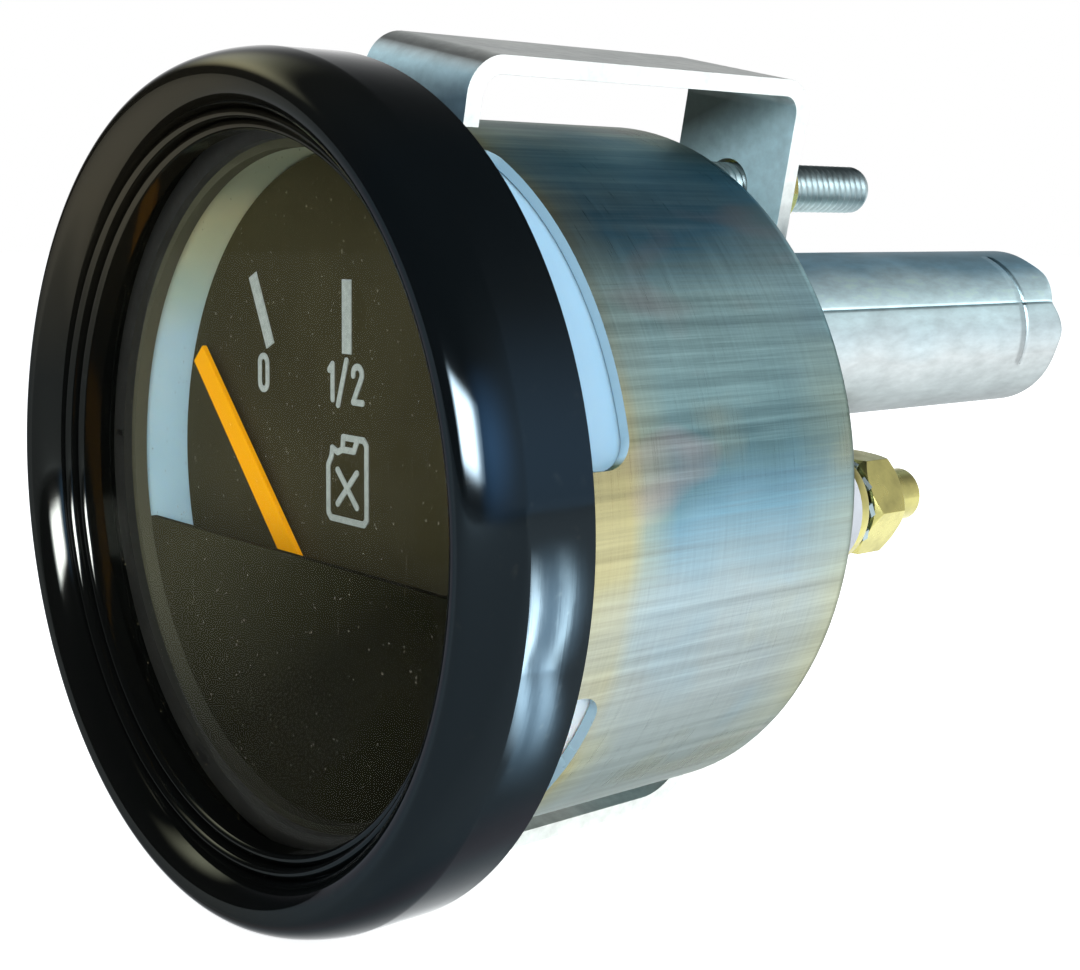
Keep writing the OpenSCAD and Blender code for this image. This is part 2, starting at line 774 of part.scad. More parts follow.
// A winding in two halves beside the arbor; layer 0 lies on the bobbin and layer 1 over it
module winding(layer) {
    inner_half = bobbin_half + coil_space;
    inner_y0 = bobbin_front_y - coil_space - layer * layer_t;
    inner_y1 = bobbin_back_y + coil_space + layer * layer_t;
    for (side = [-1, 1])
        translate([pivot[0] + side * (winding_gap + winding_w / 2), 0, pivot[1]]) difference() {
            translate([-winding_w / 2, inner_y0 - winding_t, -inner_half - winding_t])
                cube([winding_w, inner_y1 - inner_y0 + 2 * winding_t, 2 * (inner_half + winding_t)]);
            translate([-winding_w, inner_y0, -inner_half])
                cube([2 * winding_w, inner_y1 - inner_y0, 2 * inner_half]);
        }
}

module coil_inner() {
    color("#b5642d") translate([pivot[0], 0, pivot[1]]) rotate([0, 90, 0])
        translate([-pivot[0], 0, -pivot[1]]) winding(0);
}

module coil_outer() {
    color("#a85a26") winding(1);
}

module movement_shield() {
    color("#8d9296") difference() {
        bar(pivot, shield_r, shield_front_y, shield_back_y, round_fn);
        bar(pivot, shield_r - shield_wall, shield_front_y - through, shield_back_y - shield_wall, round_fn);
        bar(pivot, bearing_r, shield_back_y - through, shield_back_y + through);
    }
}

module board_pillars() {
    color("#b9a25a") for (place = pillar_places)
        bar(place, pillar_r, plate_back_y, board_front_y);
}

module terminal_board() {
    board_hole_gap = 0.6;
    color("#5a3a22") difference() {
        bar([0, 0], board_r, board_front_y, board_back_y, round_fn);
        bar(lamp_place, lamp_r + board_hole_gap, board_front_y - through, board_back_y + through, round_fn);
        for (place = terminals) bar(place, terminal_r, board_front_y - through, board_back_y + through);
    }
}

// Resistor lying under the board, with two leads bent up to it
module series_resistor() {
    lead_r = 0.35;
    lead_l = 1.8;
    lead_x = resistor_l / 2 + lead_l;
    y = board_front_y - resistor_r - lead_r;
    color("#7d8f5a") {
        translate([-resistor_l / 2, y, resistor_z]) rotate([0, 90, 0])
            cylinder(r = resistor_r, h = resistor_l, $fn = small_fn);
        translate([-lead_x, y, resistor_z]) rotate([0, 90, 0])
            cylinder(r = lead_r, h = 2 * lead_x, $fn = 24);
        for (side = [-1, 1])
            bar([side * lead_x, resistor_z], lead_r, y - lead_r, board_front_y, 24);
    }
}

// Threaded studs as plain cylinders, with a relief groove between the nut and the free end
module terminal_studs() {
    round_l = 0.5;
    relief_y = terminal_nut_back_y + relief_from_nut;
    color("#c8a640") for (place = terminals) {
        translate([place[0], 0, place[1]]) turned(small_fn) polygon([
            [0, board_front_y - tiny], [terminal_r, board_front_y - tiny],
            [terminal_r, relief_y], [terminal_r - relief_t, relief_y],
            [terminal_r - relief_t, relief_y + relief_l], [terminal_r, relief_y + relief_l],
            [terminal_r, terminal_end_y - round_l], [terminal_r - round_l, terminal_end_y],
            [0, terminal_end_y]
        ]);
        hex_nut(place, nut_af, board_front_y - terminal_head_t, board_front_y, 0);
    }
}

module inner_insulators() {
    color("#efece2") for (place = terminals) difference() {
        union() {
            bar(place, neck_r + flange_w, board_back_y, rear_inside_y);
            bar(place, neck_r, rear_inside_y - tiny, housing_depth);
        }
        bar(place, terminal_r + hole_gap, board_back_y - through, housing_depth + through);
    }
}

module outer_insulators() {
    color("#f2f0e8") for (place = terminals)
        ring(place, insulator_r, terminal_r + hole_gap, housing_depth, insulator_back_y);
}

module flat_washers() {
    washer_inset = 0.2;
    color("#c9ad55") for (place = terminals)
        ring(place, insulator_r - washer_inset, terminal_r + hole_gap, insulator_back_y, washer_back_y);
}

// Toothed washers: a ring with twisted teeth standing out of its rim
module lock_washers() {
    tooth_count = 12;
    tooth = [0.95, 0.45, 1.3];
    twist = 24;
    root_r = (nut_af - tooth[2]) / 2 + 0.3;
    ring_inset = 0.2;
    color("#a9adb0") for (place = terminals) {
        ring(place, root_r, terminal_r + hole_gap, washer_back_y + ring_inset, lock_back_y - ring_inset);
        translate([place[0], 0, place[1]]) for (i = [0 : tooth_count - 1])
            turn_to(i * 360 / tooth_count) translate([0, (washer_back_y + lock_back_y) / 2, root_r])
                rotate([0, 0, twist]) cube(tooth, center = true);
    }
}

module terminal_nut(place, turn) {
    color("#c8a640")
        hex_nut(place, nut_af, lock_back_y, terminal_nut_back_y, terminal_r + thread_gap, turn);
}

module terminal_nut_right() {
    terminal_nut(terminal_right, 5);
}

module terminal_nut_left() {
    terminal_nut(terminal_left, 40);
}

module clamp_studs() {
    r = clamp_stud_r;
    end_round = 1.2;
    relief_y = clamp_outer_y + nut_t + relief_from_nut;
    color("#a8adb2") for (side = [1, -1]) {
        place = along_clamp(0, side * clamp_stud_at);
        translate([place[0], 0, place[1]]) turned(small_fn) polygon(concat(
            [[0, rear_inside_y - stud_head_t], [stud_head_r, rear_inside_y - stud_head_t],
             [stud_head_r, rear_inside_y], [r, rear_inside_y], [r, relief_y],
             [r - relief_t, relief_y], [r - relief_t, relief_y + relief_l], [r, relief_y + relief_l]],
            arc([r - end_round, clamp_stud_end_y - end_round], [end_round, end_round], 0, 90, 6),
            [[0, clamp_stud_end_y]]
        ));
    }
}

// A quarter of a bend: a ring sector about a corner's centre, towards the given signs
module bend(centre, r_out, signs) {
    translate(centre) intersection() {
        difference() {
            circle(r = r_out, $fn = small_fn);
            circle(r = r_out - strip_t, $fn = small_fn);
        }
        translate([signs[0] < 0 ? -r_out : 0, signs[1] < 0 ? -r_out : 0]) square(r_out);
    }
}

// Side view of the clamp: across is the distance up the clamp's middle line, upwards is depth
module clamp_outline() {
    up = upper_leg;
    low = -lower_leg;
    translate([up - strip_t, foot_depth + bend_r])
        square([strip_t, clamp_outer_y - foot_depth - 2 * bend_r]);
    translate([foot_r, foot_depth]) square([up - bend_r - foot_r, strip_t]);
    bend([up - bend_r, foot_depth + bend_r], bend_r, [1, -1]);
    bend([up - bend_r, clamp_outer_y - bend_r], bend_r, [1, 1]);
    translate([low + lower_bend_r, clamp_back_y])
        square([up - bend_r - low - lower_bend_r, strip_t]);
    bend([low + lower_bend_r, clamp_outer_y - lower_bend_r], lower_bend_r, [-1, 1]);
    translate([low, lower_end_depth])
        square([strip_t, clamp_outer_y - lower_bend_r - lower_end_depth]);
}

module clamp_bracket() {
    color("#c3c7c8") turn_to(clamp_turn) difference() {
        translate([-strip_w / 2, 0, 0]) multmatrix([
            [0, 0, 1, 0], [0, 1, 0, 0], [1, 0, 0, 0], [0, 0, 0, 1]
        ]) linear_extrude(height = strip_w) clamp_outline();
        for (side = [1, -1])
            bar([0, side * clamp_stud_at], clamp_stud_r + stud_gap,
                clamp_back_y - through, clamp_outer_y + through);
    }
}

module clamp_nut(side, turn) {
    place = along_clamp(0, side * clamp_stud_at);
    color("#b59a4c")
        hex_nut(place, nut_af, clamp_outer_y, clamp_outer_y + nut_t, clamp_stud_r + thread_gap, turn);
}

module clamp_nut_upper() {
    clamp_nut(1, 8);
}

module clamp_nut_lower() {
    clamp_nut(-1, 35);
}

// Moves its children onto the lamp tube's axis
module at_lamp() {
    translate([lamp_place[0], 0, lamp_place[1]]) children();
}

// Rolled tube with a domed end, its lengthwise seam, a cross slit and two pressed bumps
module lamp_tube() {
    slit_span = 96;
    bump_angle = 24;
    bump_inset = 1.7;
    bump_rise = 0.1;
    dome_r = lamp_r - dome_flat_r;
    dome_centre = [dome_flat_r, lamp_end_y - dome_l];
    color("#b9c0c4") at_lamp() difference() {
        union() {
            turned() polygon(concat(
                [[lamp_inner_r, lamp_front_y], [lamp_r, lamp_front_y]],
                arc(dome_centre, [dome_r, dome_l], 0, 87, 10),
                [[dome_opening_r, lamp_end_y], [dome_opening_r, lamp_end_y - lamp_wall]],
                arc(dome_centre, [dome_r - lamp_wall, dome_l - lamp_wall], 86, 0, 10)
            ));
            for (side = [-1, 1])
                turn_to(seam_angle + side * bump_angle)
                    translate([0, lamp_end_y - bump_inset, lamp_r - bump_r - bump_rise])
                        sphere(r = bump_r, $fn = 32);
        }
        turn_to(seam_angle) translate([-slit_w / 2, lamp_front_y - through, dome_flat_r - through])
            cube([slit_w, lamp_end_y - lamp_front_y + 2 * through, lamp_r]);
        turn_to(seam_angle) rotate([-90, 0, 0]) translate([0, 0, slit_y])
            rotate([0, 0, -90 - slit_span / 2]) rotate_extrude(angle = slit_span, $fn = round_fn)
                translate([lamp_inner_r - through, 0]) square([lamp_wall + 2 * through, slit_w]);
    }
}

module lamp_insulator() {
    wide_r = lamp_inner_r - hole_gap;
    narrow_r = dome_opening_r - 0.3;
    taper_y = slit_y + 2;
    color("#6b4a2e") at_lamp() turned() polygon([
        [contact_r, insulator_front_y], [wide_r, insulator_front_y], [wide_r, taper_y],
        [narrow_r, taper_y + wide_r - narrow_r], [narrow_r, insulator_rear_y], [contact_r, insulator_rear_y]
    ]);
}

// Centre contact: a plate at the bulb, a rod through the insulator and a rivet head outside
module lamp_contact() {
    plate_back = contact_plate_y + contact_plate_t;
    head_t = 0.6;
    color("#c8a640") at_lamp() turned(small_fn) polygon([
        [0, contact_plate_y], [contact_head_r, contact_plate_y], [contact_head_r, plate_back],
        [contact_r, plate_back], [contact_r, insulator_rear_y], [contact_head_r, insulator_rear_y],
        [contact_head_r, insulator_rear_y + head_t], [0, insulator_rear_y + head_t]
    ]);
}

module lamp_spring() {
    color("#9fa4a8") ring(lamp_place, spring_r, spring_r - spring_wall,
        contact_plate_y + contact_plate_t, insulator_front_y);
}

// Bulb's cap with its button and two bayonet pins
module bulb_cap() {
    cap_wall = 0.5;
    button_r = 1.6;
    pin_r = 0.8;
    pin_inset = 5;
    pin_reach = lamp_inner_r - 0.35;
    pin_start = cap_r - cap_wall / 2;
    color("#c9a24a") {
        ring(lamp_place, cap_r, cap_r - cap_wall, cap_front_y, cap_back_y - cap_wall);
        bar(lamp_place, cap_r, cap_back_y - cap_wall - tiny, cap_back_y);
        bar(lamp_place, button_r, cap_back_y - tiny, contact_plate_y);
        at_lamp() for (side = [0, 180]) turn_to(side)
            translate([0, cap_front_y + pin_inset, pin_start])
                cylinder(r = pin_r, h = pin_reach - pin_start, $fn = 24);
    }
}

// Bulb's glass: a round front and a stem that sits in the cap
module bulb_glass() {
    glass_wall = 0.5;
    stem_r = cap_r - 0.7;
    stem_l = 5;
    centre = [0, cap_front_y - glass_l + glass_r];
    inner_r = glass_r - glass_wall;
    color("#eef3f5", 0.4) at_lamp() turned(small_fn) polygon(concat(
        arc(centre, [glass_r, glass_r], -90, 0, 12),
        [[glass_r, cap_front_y - tiny], [stem_r, cap_front_y - tiny], [stem_r, cap_front_y + stem_l],
         [stem_r - glass_wall, cap_front_y + stem_l], [stem_r - glass_wall, cap_front_y - glass_wall],
         [inner_r, cap_front_y - glass_wall]],
        arc(centre, [inner_r, inner_r], 0, -90, 12)
    ));
}

bezel();
lens();
lens_seal();
spacer_ring();
housing();
light_ring();
dial();
dial_markings();
dial_screws();
mask_plate();
mask_posts();
pointer_blade();
pointer_hub();
pointer_arbor();
rotor_magnet();
stop_pins();
movement_plate();
front_bearing();
rear_bearing();
bobbin_front();
bobbin_rear();
coil_inner();
coil_outer();
movement_shield();
terminal_board();
board_pillars();
series_resistor();
terminal_studs();
inner_insulators();
outer_insulators();
flat_washers();
lock_washers();
terminal_nut_right();
terminal_nut_left();
clamp_studs();
clamp_bracket();
clamp_nut_upper();
clamp_nut_lower();
lamp_tube();
lamp_insulator();
lamp_contact();
lamp_spring();
bulb_cap();
bulb_glass();
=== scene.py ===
import json
import math

import bmesh
import bpy
from mathutils import Matrix, Vector


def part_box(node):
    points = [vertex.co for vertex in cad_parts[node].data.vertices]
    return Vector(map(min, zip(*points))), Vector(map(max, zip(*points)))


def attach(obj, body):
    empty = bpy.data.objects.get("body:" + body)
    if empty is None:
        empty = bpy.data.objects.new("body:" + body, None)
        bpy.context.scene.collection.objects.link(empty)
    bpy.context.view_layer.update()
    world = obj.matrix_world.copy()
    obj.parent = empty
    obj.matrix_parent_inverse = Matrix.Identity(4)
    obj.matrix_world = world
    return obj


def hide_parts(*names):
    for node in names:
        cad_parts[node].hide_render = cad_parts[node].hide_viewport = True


# Lengths are in millimetres and become metres where a mesh is made. In materials, and for the lamps
# unless said otherwise, places are in metres.
MM = 0.001
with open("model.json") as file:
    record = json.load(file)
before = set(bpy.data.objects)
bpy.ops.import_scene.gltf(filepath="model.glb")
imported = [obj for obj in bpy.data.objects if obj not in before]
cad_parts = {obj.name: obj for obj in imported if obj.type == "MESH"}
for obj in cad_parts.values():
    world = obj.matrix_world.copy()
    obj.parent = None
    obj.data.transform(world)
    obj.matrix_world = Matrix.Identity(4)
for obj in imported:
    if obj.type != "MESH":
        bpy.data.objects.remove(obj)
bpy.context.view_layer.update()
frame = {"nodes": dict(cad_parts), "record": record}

NODES = frame["nodes"]
BODY_OF = {node: body for body, nodes in frame["record"]["behaviour"]["bodies"].items() for node in nodes}
SLOT_OF = {part["node"]: part["material_slot"] for part in frame["record"]["subparts"]}


def box_mm(node):
    """Lowest and highest corner of a CAD node, in millimetres."""
    low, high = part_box(node)
    return low / MM, high / MM


# Sizes read from the frame
BEZEL_LOW, BEZEL_HIGH = box_mm("bezel")
LENS_LOW, LENS_HIGH = box_mm("lens")
TUBE_LOW, TUBE_HIGH = box_mm("lamp_tube")
STUDS_LOW, STUDS_HIGH = box_mm("clamp_studs")
HOUSING_HIGH = box_mm("housing")[1]
BRACKET_LOW = box_mm("clamp_bracket")[0]

BEZEL_R = BEZEL_HIGH.x
BEZEL_H = -BEZEL_LOW.y
HOUSING_R = HOUSING_HIGH.x
HOUSING_BACK = HOUSING_HIGH.y
TUBE_R = (TUBE_HIGH.x - TUBE_LOW.x) / 2
TUBE_PLACE = ((TUBE_HIGH.x + TUBE_LOW.x) / 2, (TUBE_HIGH.z + TUBE_LOW.z) / 2)

# Places that tints refer to, in metres: the light slots' back end along the can, and the radius
# inside which the light ring shows round the dial and outside which it shows in the slots
SLOT_BACK = 0.0067
RING_INSIDE = 0.0246


# Meshes

def finish_mesh(bm, name, sharp_angle=35.0):
    """Scales the mesh to metres, smooths it, marks its sharp edges and returns a new object."""
    bmesh.ops.recalc_face_normals(bm, faces=bm.faces)
    limit = math.radians(sharp_angle)
    for face in bm.faces:
        face.smooth = True
    for edge in bm.edges:
        edge.smooth = not edge.is_manifold or edge.calc_face_angle(0.0) < limit
    bm.transform(Matrix.Scale(MM, 4))
    mesh = bpy.data.meshes.new(name)
    bm.to_mesh(mesh)
    bm.free()
    if "custom_normal" in mesh.attributes:
        mesh.attributes.remove(mesh.attributes["custom_normal"])
    piece = bpy.data.objects.new(name, mesh)
    bpy.context.scene.collection.objects.link(piece)
    return piece


def stand_for(piece, node, *materials, weighted=True):
    """The piece stands in for a CAD node: it joins the node's body, takes the given materials and hides the
    node.
    """
    piece.data.materials.clear()
    for material in materials:
        piece.data.materials.append(material)
    if weighted:
        modifier = piece.modifiers.new("even_normals", "WEIGHTED_NORMAL")
        modifier.keep_sharp = True
    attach(piece, BODY_OF[node])
    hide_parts(node)
    return piece


def dressed(node, material, edge_round, segments=2, edge_material=None):
    """A copy of a CAD node's shape with rounded edges, which may have a finish of their own."""
    weld = 0.0005
    flat_angle = math.radians(0.4)
    sharp_angle = math.radians(35)
    bm = bmesh.new()
    bm.from_mesh(NODES[node].data)
    bm.transform(Matrix.Scale(1 / MM, 4))
    bmesh.ops.remove_doubles(bm, verts=bm.verts, dist=weld)
    bmesh.ops.dissolve_limit(
        bm, angle_limit=flat_angle, verts=bm.verts, edges=bm.edges, delimit={"NORMAL"}
    )
    sharp = [e for e in bm.edges if e.is_manifold and e.calc_face_angle(0.0) > sharp_angle]
    rounded = bmesh.ops.bevel(
        bm, geom=sharp, offset=edge_round, segments=segments, profile=0.5,
        affect="EDGES", clamp_overlap=True,
    )
    finishes = [material]
    if edge_material:
        finishes.append(edge_material)
        for face in rounded["faces"]:
            face.material_index = 1
    return stand_for(finish_mesh(bm, node + "_body"), node, *finishes)


def merge(bm, other):
    """Adds another mesh under construction to bm and frees it."""
    mesh = bpy.data.meshes.new("part_of_a_piece")
    other.to_mesh(mesh)
    other.free()
    bm.from_mesh(mesh)
    bpy.data.meshes.remove(mesh)


def at_angle(place, radius, angle, y):
    """The point at a radius and an angle from a line along Y at place."""
    return place[0] + radius * math.sin(angle), y, place[1] + radius * math.cos(angle)


def skin(bm, pairs):
    """Faces between the two rings of points of each pair; a ring may be a single point."""
    for a, b in pairs:
        steps = max(len(a), len(b))
        for i in range(steps):
            j = (i + 1) % steps
            corners = [a[i % len(a)], a[j % len(a)], b[j % len(b)], b[i % len(b)]]
            unique = list(dict.fromkeys(corners))
            if len(unique) > 2:
                bm.faces.new(unique)


def lathe(profile, steps, place=(0.0, 0.0), closed=True):
    """A surface of revolution about a line along Y at place; profile holds (radius, y) points."""
    bm = bmesh.new()
    rings = []
    for radius, y in profile:
        count = steps if radius > 0 else 1
        angles = [2 * math.pi * i / steps for i in range(count)]
        rings.append([bm.verts.new(at_angle(place, radius, angle, y)) for angle in angles])
    pairs = list(zip(rings, rings[1:]))
    if closed:
        pairs.append((rings[-1], rings[0]))
    skin(bm, pairs)
    return bm


def arc(centre, radii, start, end, steps):
    """Points of an ellipse's arc between two angles in degrees."""
    points = []
    for i in range(steps + 1):
        a = math.radians(start + (end - start) * i / steps)
        points.append((centre[0] + radii[0] * math.cos(a), centre[1] + radii[1] * math.sin(a)))
    return points


# Materials

def rgba(colour):
    """Adds an alpha of 1 to a colour of three numbers. A socket stays as it is."""
    if isinstance(colour, bpy.types.NodeSocket):
        return colour
    return (*colour, 1.0)


class Shade:
    """Adds nodes to a material, the world or a lamp. A value that is a socket is linked, others are set."""

    def __init__(self, name, block=None, kind="Material", coordinates="Object"):
        self.block = block or bpy.data.materials.new(name)
        self.block.use_nodes = True
        self.tree = self.block.node_tree
        self.tree.nodes.clear()
        self.output = self.tree.nodes.new("ShaderNodeOutput" + kind)
        self.place = self.tree.nodes.new("ShaderNodeTexCoord").outputs[coordinates]

    def put(self, node, socket, value):
        target = node.inputs[socket]
        if isinstance(value, bpy.types.NodeSocket):
            self.tree.links.new(value, target)
        else:
            target.default_value = value

    def add(self, kind, inputs=(), **settings):
        node = self.tree.nodes.new(kind)
        for key, value in settings.items():
            setattr(node, key, value)
        for socket, value in dict(inputs).items():
            self.put(node, socket, value)
        return node

    def show(self, shader):
        """Links the shader to the output and returns the finished material, world or lamp."""
        self.tree.links.new(shader.outputs[0], self.output.inputs[0])
        return self.block

    # Places and directions

    def parts(self, vector):
        return self.add("ShaderNodeSeparateXYZ", {0: vector}).outputs[:]

    def split(self):
        """The x, y and z of the place."""
        return self.parts(self.place)

    def facing(self):
        """The x, y and z of the surface's normal."""
        return self.parts(self.add("ShaderNodeNewGeometry").outputs["Normal"])

    def reach(self):
        """The distance from the gauge's axis."""
        x, _, z = self.split()
        return self.math("SQRT", self.math("ADD", self.times(x, x), self.times(z, z)))

    def camera_ray(self):
        """1 where the camera itself sees the surface."""
        return self.add("ShaderNodeLightPath").outputs["Is Camera Ray"]

    def backdrop_ray(self):
        """1 for the rays that see the backdrop: camera, mirror and glass rays."""
        path = self.add("ShaderNodeLightPath").outputs
        seen = self.math("MAXIMUM", path["Is Camera Ray"], path["Is Glossy Ray"])
        return self.math("MAXIMUM", seen, path["Is Transmission Ray"])

    # Patterns

    def stretched(self, scale, shift=(0.0, 0.0, 0.0)):
        """The place multiplied along each axis, in repeats per metre."""
        inputs = {"Vector": self.place, "Scale": scale, "Location": shift}
        return self.add("ShaderNodeMapping", inputs).outputs[0]

    def noise(self, scale, detail, rough, vector=None):
        return self.add("ShaderNodeTexNoise", {
            "Vector": vector or self.place, "Scale": scale, "Detail": detail, "Roughness": rough,
        }).outputs["Fac"]

    def streaks(self, scale, detail, rough, shift=(0.0, 0.0, 0.0)):
        """Noise of a scale of its own along each axis."""
        return self.noise(1.0, detail, rough, self.stretched(scale, shift))

    def spots(self, scale):
        inputs = {"Vector": self.place, "Scale": scale}
        return self.add("ShaderNodeTexVoronoi", inputs).outputs["Distance"]

    # Sums

    def math(self, operation, a, b=0.0, clamp=False):
        return self.add("ShaderNodeMath", {0: a, 1: b}, operation=operation, use_clamp=clamp).outputs[0]

    def times(self, first, *others):
        for other in others:
            first = self.math("MULTIPLY", first, other)
        return first

    def span(self, value, low, high, to_low=0.0, to_high=1.0, kind="LINEAR"):
        """Maps low..high to to_low..to_high, held at the ends."""
        return self.add("ShaderNodeMapRange", {
            "Value": value, "From Min": low, "From Max": high, "To Min": to_low, "To Max": to_high,
        }, interpolation_type=kind).outputs["Result"]

    def smooth(self, value, low, high, to_low=0.0, to_high=1.0):
        """As span, but with soft ends."""
        return self.span(value, low, high, to_low, to_high, "SMOOTHSTEP")

    # Colours

    def ramp(self, value, low, high, stops):
        """Colours along low..high; stops holds (value, colour) pairs in rising order."""
        node = self.add("ShaderNodeValToRGB", {"Fac": self.span(value, low, high)})
        points = node.color_ramp.elements
        while len(points) < len(stops):
            points.new(0.5)
        for point, (at, colour) in zip(points, stops):
            point.position = (at - low) / (high - low)
            point.color = rgba(colour)
        return node.outputs["Color"]

    def mix(self, factor, a, b, blend="MIX"):
        node = self.add("ShaderNodeMix", data_type="RGBA", blend_type=blend)
        self.put(node, 0, factor)
        self.put(node, 6, rgba(a))
        self.put(node, 7, rgba(b))
        return node.outputs[2]

    def dimmed(self, colour, level):
        """The colour multiplied by a level of grey."""
        grey = self.add("ShaderNodeCombineColor", {0: level, 1: level, 2: level}).outputs[0]
        return self.mix(1.0, colour, grey, "MULTIPLY")

    # Surfaces

    def bump(self, height, strength, distance, normal=None):
        inputs = {"Height": height, "Strength": strength, "Distance": distance}
        if normal is not None:
            inputs["Normal"] = normal
        return self.add("ShaderNodeBump", inputs).outputs[0]

    def principled(self, **inputs):
        names = {key.replace("_", " "): value for key, value in inputs.items()}
        names["Base Color"] = rgba(names["Base Color"])
        return self.add("ShaderNodeBsdfPrincipled", names)

    def blend(self, factor, first, second):
        """A mix of two shaders."""
        return self.add("ShaderNodeMixShader", {0: factor, 1: first.outputs[0], 2: second.outputs[0]})


def black_enamel():
    """Glossy stove enamel: faint orange peel, hairlines and dust; a painted warm reflection above and a
    painted blue sheen on the right.
    """
    black = (0.0125, 0.0135, 0.0125)
    warm_reflection_black = (0.032, 0.028, 0.019)
    blue_sheen_black = (0.0110, 0.0155, 0.0185)
    dust_grey = (0.045, 0.047, 0.042)
    s = Shade("black_enamel")
    x, _, z = s.split()
    wiped = s.streaks((90, 260, 90), 5, 0.6)
    dust = s.span(s.noise(900, 2, 0.7), 0.64, 0.8, 0.0, 0.2)
    # Painted reflection: the colour turns warm higher up, for the room mirrored above, and blue towards the
    # right, as a blue sheen.
    colour = s.mix(s.span(z, 0.006, 0.02), black, warm_reflection_black)
    colour = s.mix(s.span(x, 0.002, 0.02), colour, blue_sheen_black)
    colour = s.mix(dust, colour, dust_grey)
    orange_peel = s.noise(420, 2, 0.5)
    hairline = s.streaks((120, 4200, 120), 3, 0.7)
    normal = s.bump(orange_peel, 0.12, 0.00004)
    normal = s.bump(hairline, 0.05, 0.00002, normal)
    return s.show(s.principled(
        Base_Color=colour, Roughness=s.span(wiped, 0.3, 0.75, 0.04, 0.11), Normal=normal,
        Metallic=0.8, Specular_Tint=(0.4, 0.41, 0.42, 1.0), Specular_IOR_Level=0.2,
    ))


def lens_glass():
    """Clear glass with a veil of dust, specks and fine scratches. Only its outer side mirrors."""
    mirror_tint = (0.36, 0.31, 0.18)
    dust_tint = (0.90, 0.92, 0.85)
    glass_tint = (0.97, 0.985, 0.975)
    s = Shade("lens_glass")
    specks = s.span(s.spots(1500), 0.16, 0.08)
    chosen = s.span(s.noise(700, 2, 0.5), 0.52, 0.6)
    scratch = s.span(s.streaks((2600, 60, 160), 2, 0.6, (3, 1, 2)), 0.7, 0.78)
    patch = s.span(s.noise(60, 2, 0.5), 0.5, 0.65, 0.0, 0.3)
    veil = s.span(s.noise(140, 4, 0.6), 0.35, 0.8, 0.0005, 0.006)
    marks = s.math("MAXIMUM", s.times(specks, chosen, 0.35), s.times(scratch, patch))
    dust = s.math("ADD", marks, veil, clamp=True)
    outside = s.math("SUBTRACT", 1.0, s.add("ShaderNodeNewGeometry").outputs["Backfacing"])
    mirror = s.times(s.add("ShaderNodeFresnel", {"IOR": 1.06}).outputs[0], outside)
    surface = s.principled(
        Base_Color=s.mix(s.math("GREATER_THAN", dust, mirror), dust_tint, mirror_tint),
        Metallic=s.math("GREATER_THAN", mirror, dust), Roughness=0.04,
    )
    clear = s.add("ShaderNodeBsdfTransparent", {"Color": rgba(glass_tint)})
    return s.show(s.blend(s.math("MAXIMUM", mirror, dust), clear, surface))


def can_film_and_reflection_bands(s, z, broad, streak):
    """The film's colours change with the height, along wavy and streaky borders, mixed with painted
    reflections: lighter and darker bands for the floor and room the can mirrors.
    """
    height = s.math("ADD", z, s.span(broad, 0.3, 0.7, -0.0022, 0.0022))
    height = s.math("ADD", height, s.span(streak, 0.3, 0.7, -0.0014, 0.0014))
    # Painted reflections mixed with the film's colours: the ramp's lighter and darker bands stand in for the
    # mirrored floor and room.
    return s.ramp(height, -0.025, 0.026, [
        (-0.025, (0.45, 0.52, 0.50)), (-0.013, (0.29, 0.33, 0.33)), (-0.006, (0.32, 0.38, 0.39)),
        (0.001, (0.145, 0.27, 0.34)), (0.004, (0.115, 0.21, 0.235)), (0.0135, (0.39, 0.60, 0.62)),
        (0.019, (0.12, 0.28, 0.39)), (0.0235, (0.22, 0.33, 0.36)), (0.026, (0.40, 0.49, 0.46)),
    ])


def can_stains(s, colour, y, broad, film):
    """Blue, yellow and rosy stains, with more yellow near the can's ends and at its slots."""
    blue, straw, rose = (0.23, 0.37, 0.46), (0.38, 0.37, 0.24), (0.48, 0.33, 0.33)
    end_yellow, slot_gold = (0.44, 0.42, 0.23), (0.42, 0.35, 0.15)
    colour = s.mix(s.span(film, 0.54, 0.70, 0.0, 0.34), colour, blue)
    colour = s.mix(s.span(film, 0.44, 0.32, 0.0, 0.3), colour, straw)
    near_front = s.span(y, 0.0105, SLOT_BACK - 0.0002, 0.0, 0.6)
    near_back = s.span(y, 0.0215, 0.0275, 0.0, 0.55)
    ends = s.times(s.math("MAXIMUM", near_front, near_back), s.span(broad, 0.34, 0.6))
    colour = s.mix(ends, colour, end_yellow)
    at_slots = s.span(y, SLOT_BACK + 0.0011, SLOT_BACK - 0.0003)
    colour = s.mix(s.times(at_slots, s.span(broad, 0.35, 0.65, 0.15, 0.6)), colour, slot_gold)
    rosy = s.streaks((130, 60, 130), 2, 0.5, (7, 3, 1))
    return s.mix(s.span(rosy, 0.62, 0.72, 0.0, 0.4), colour, rose)


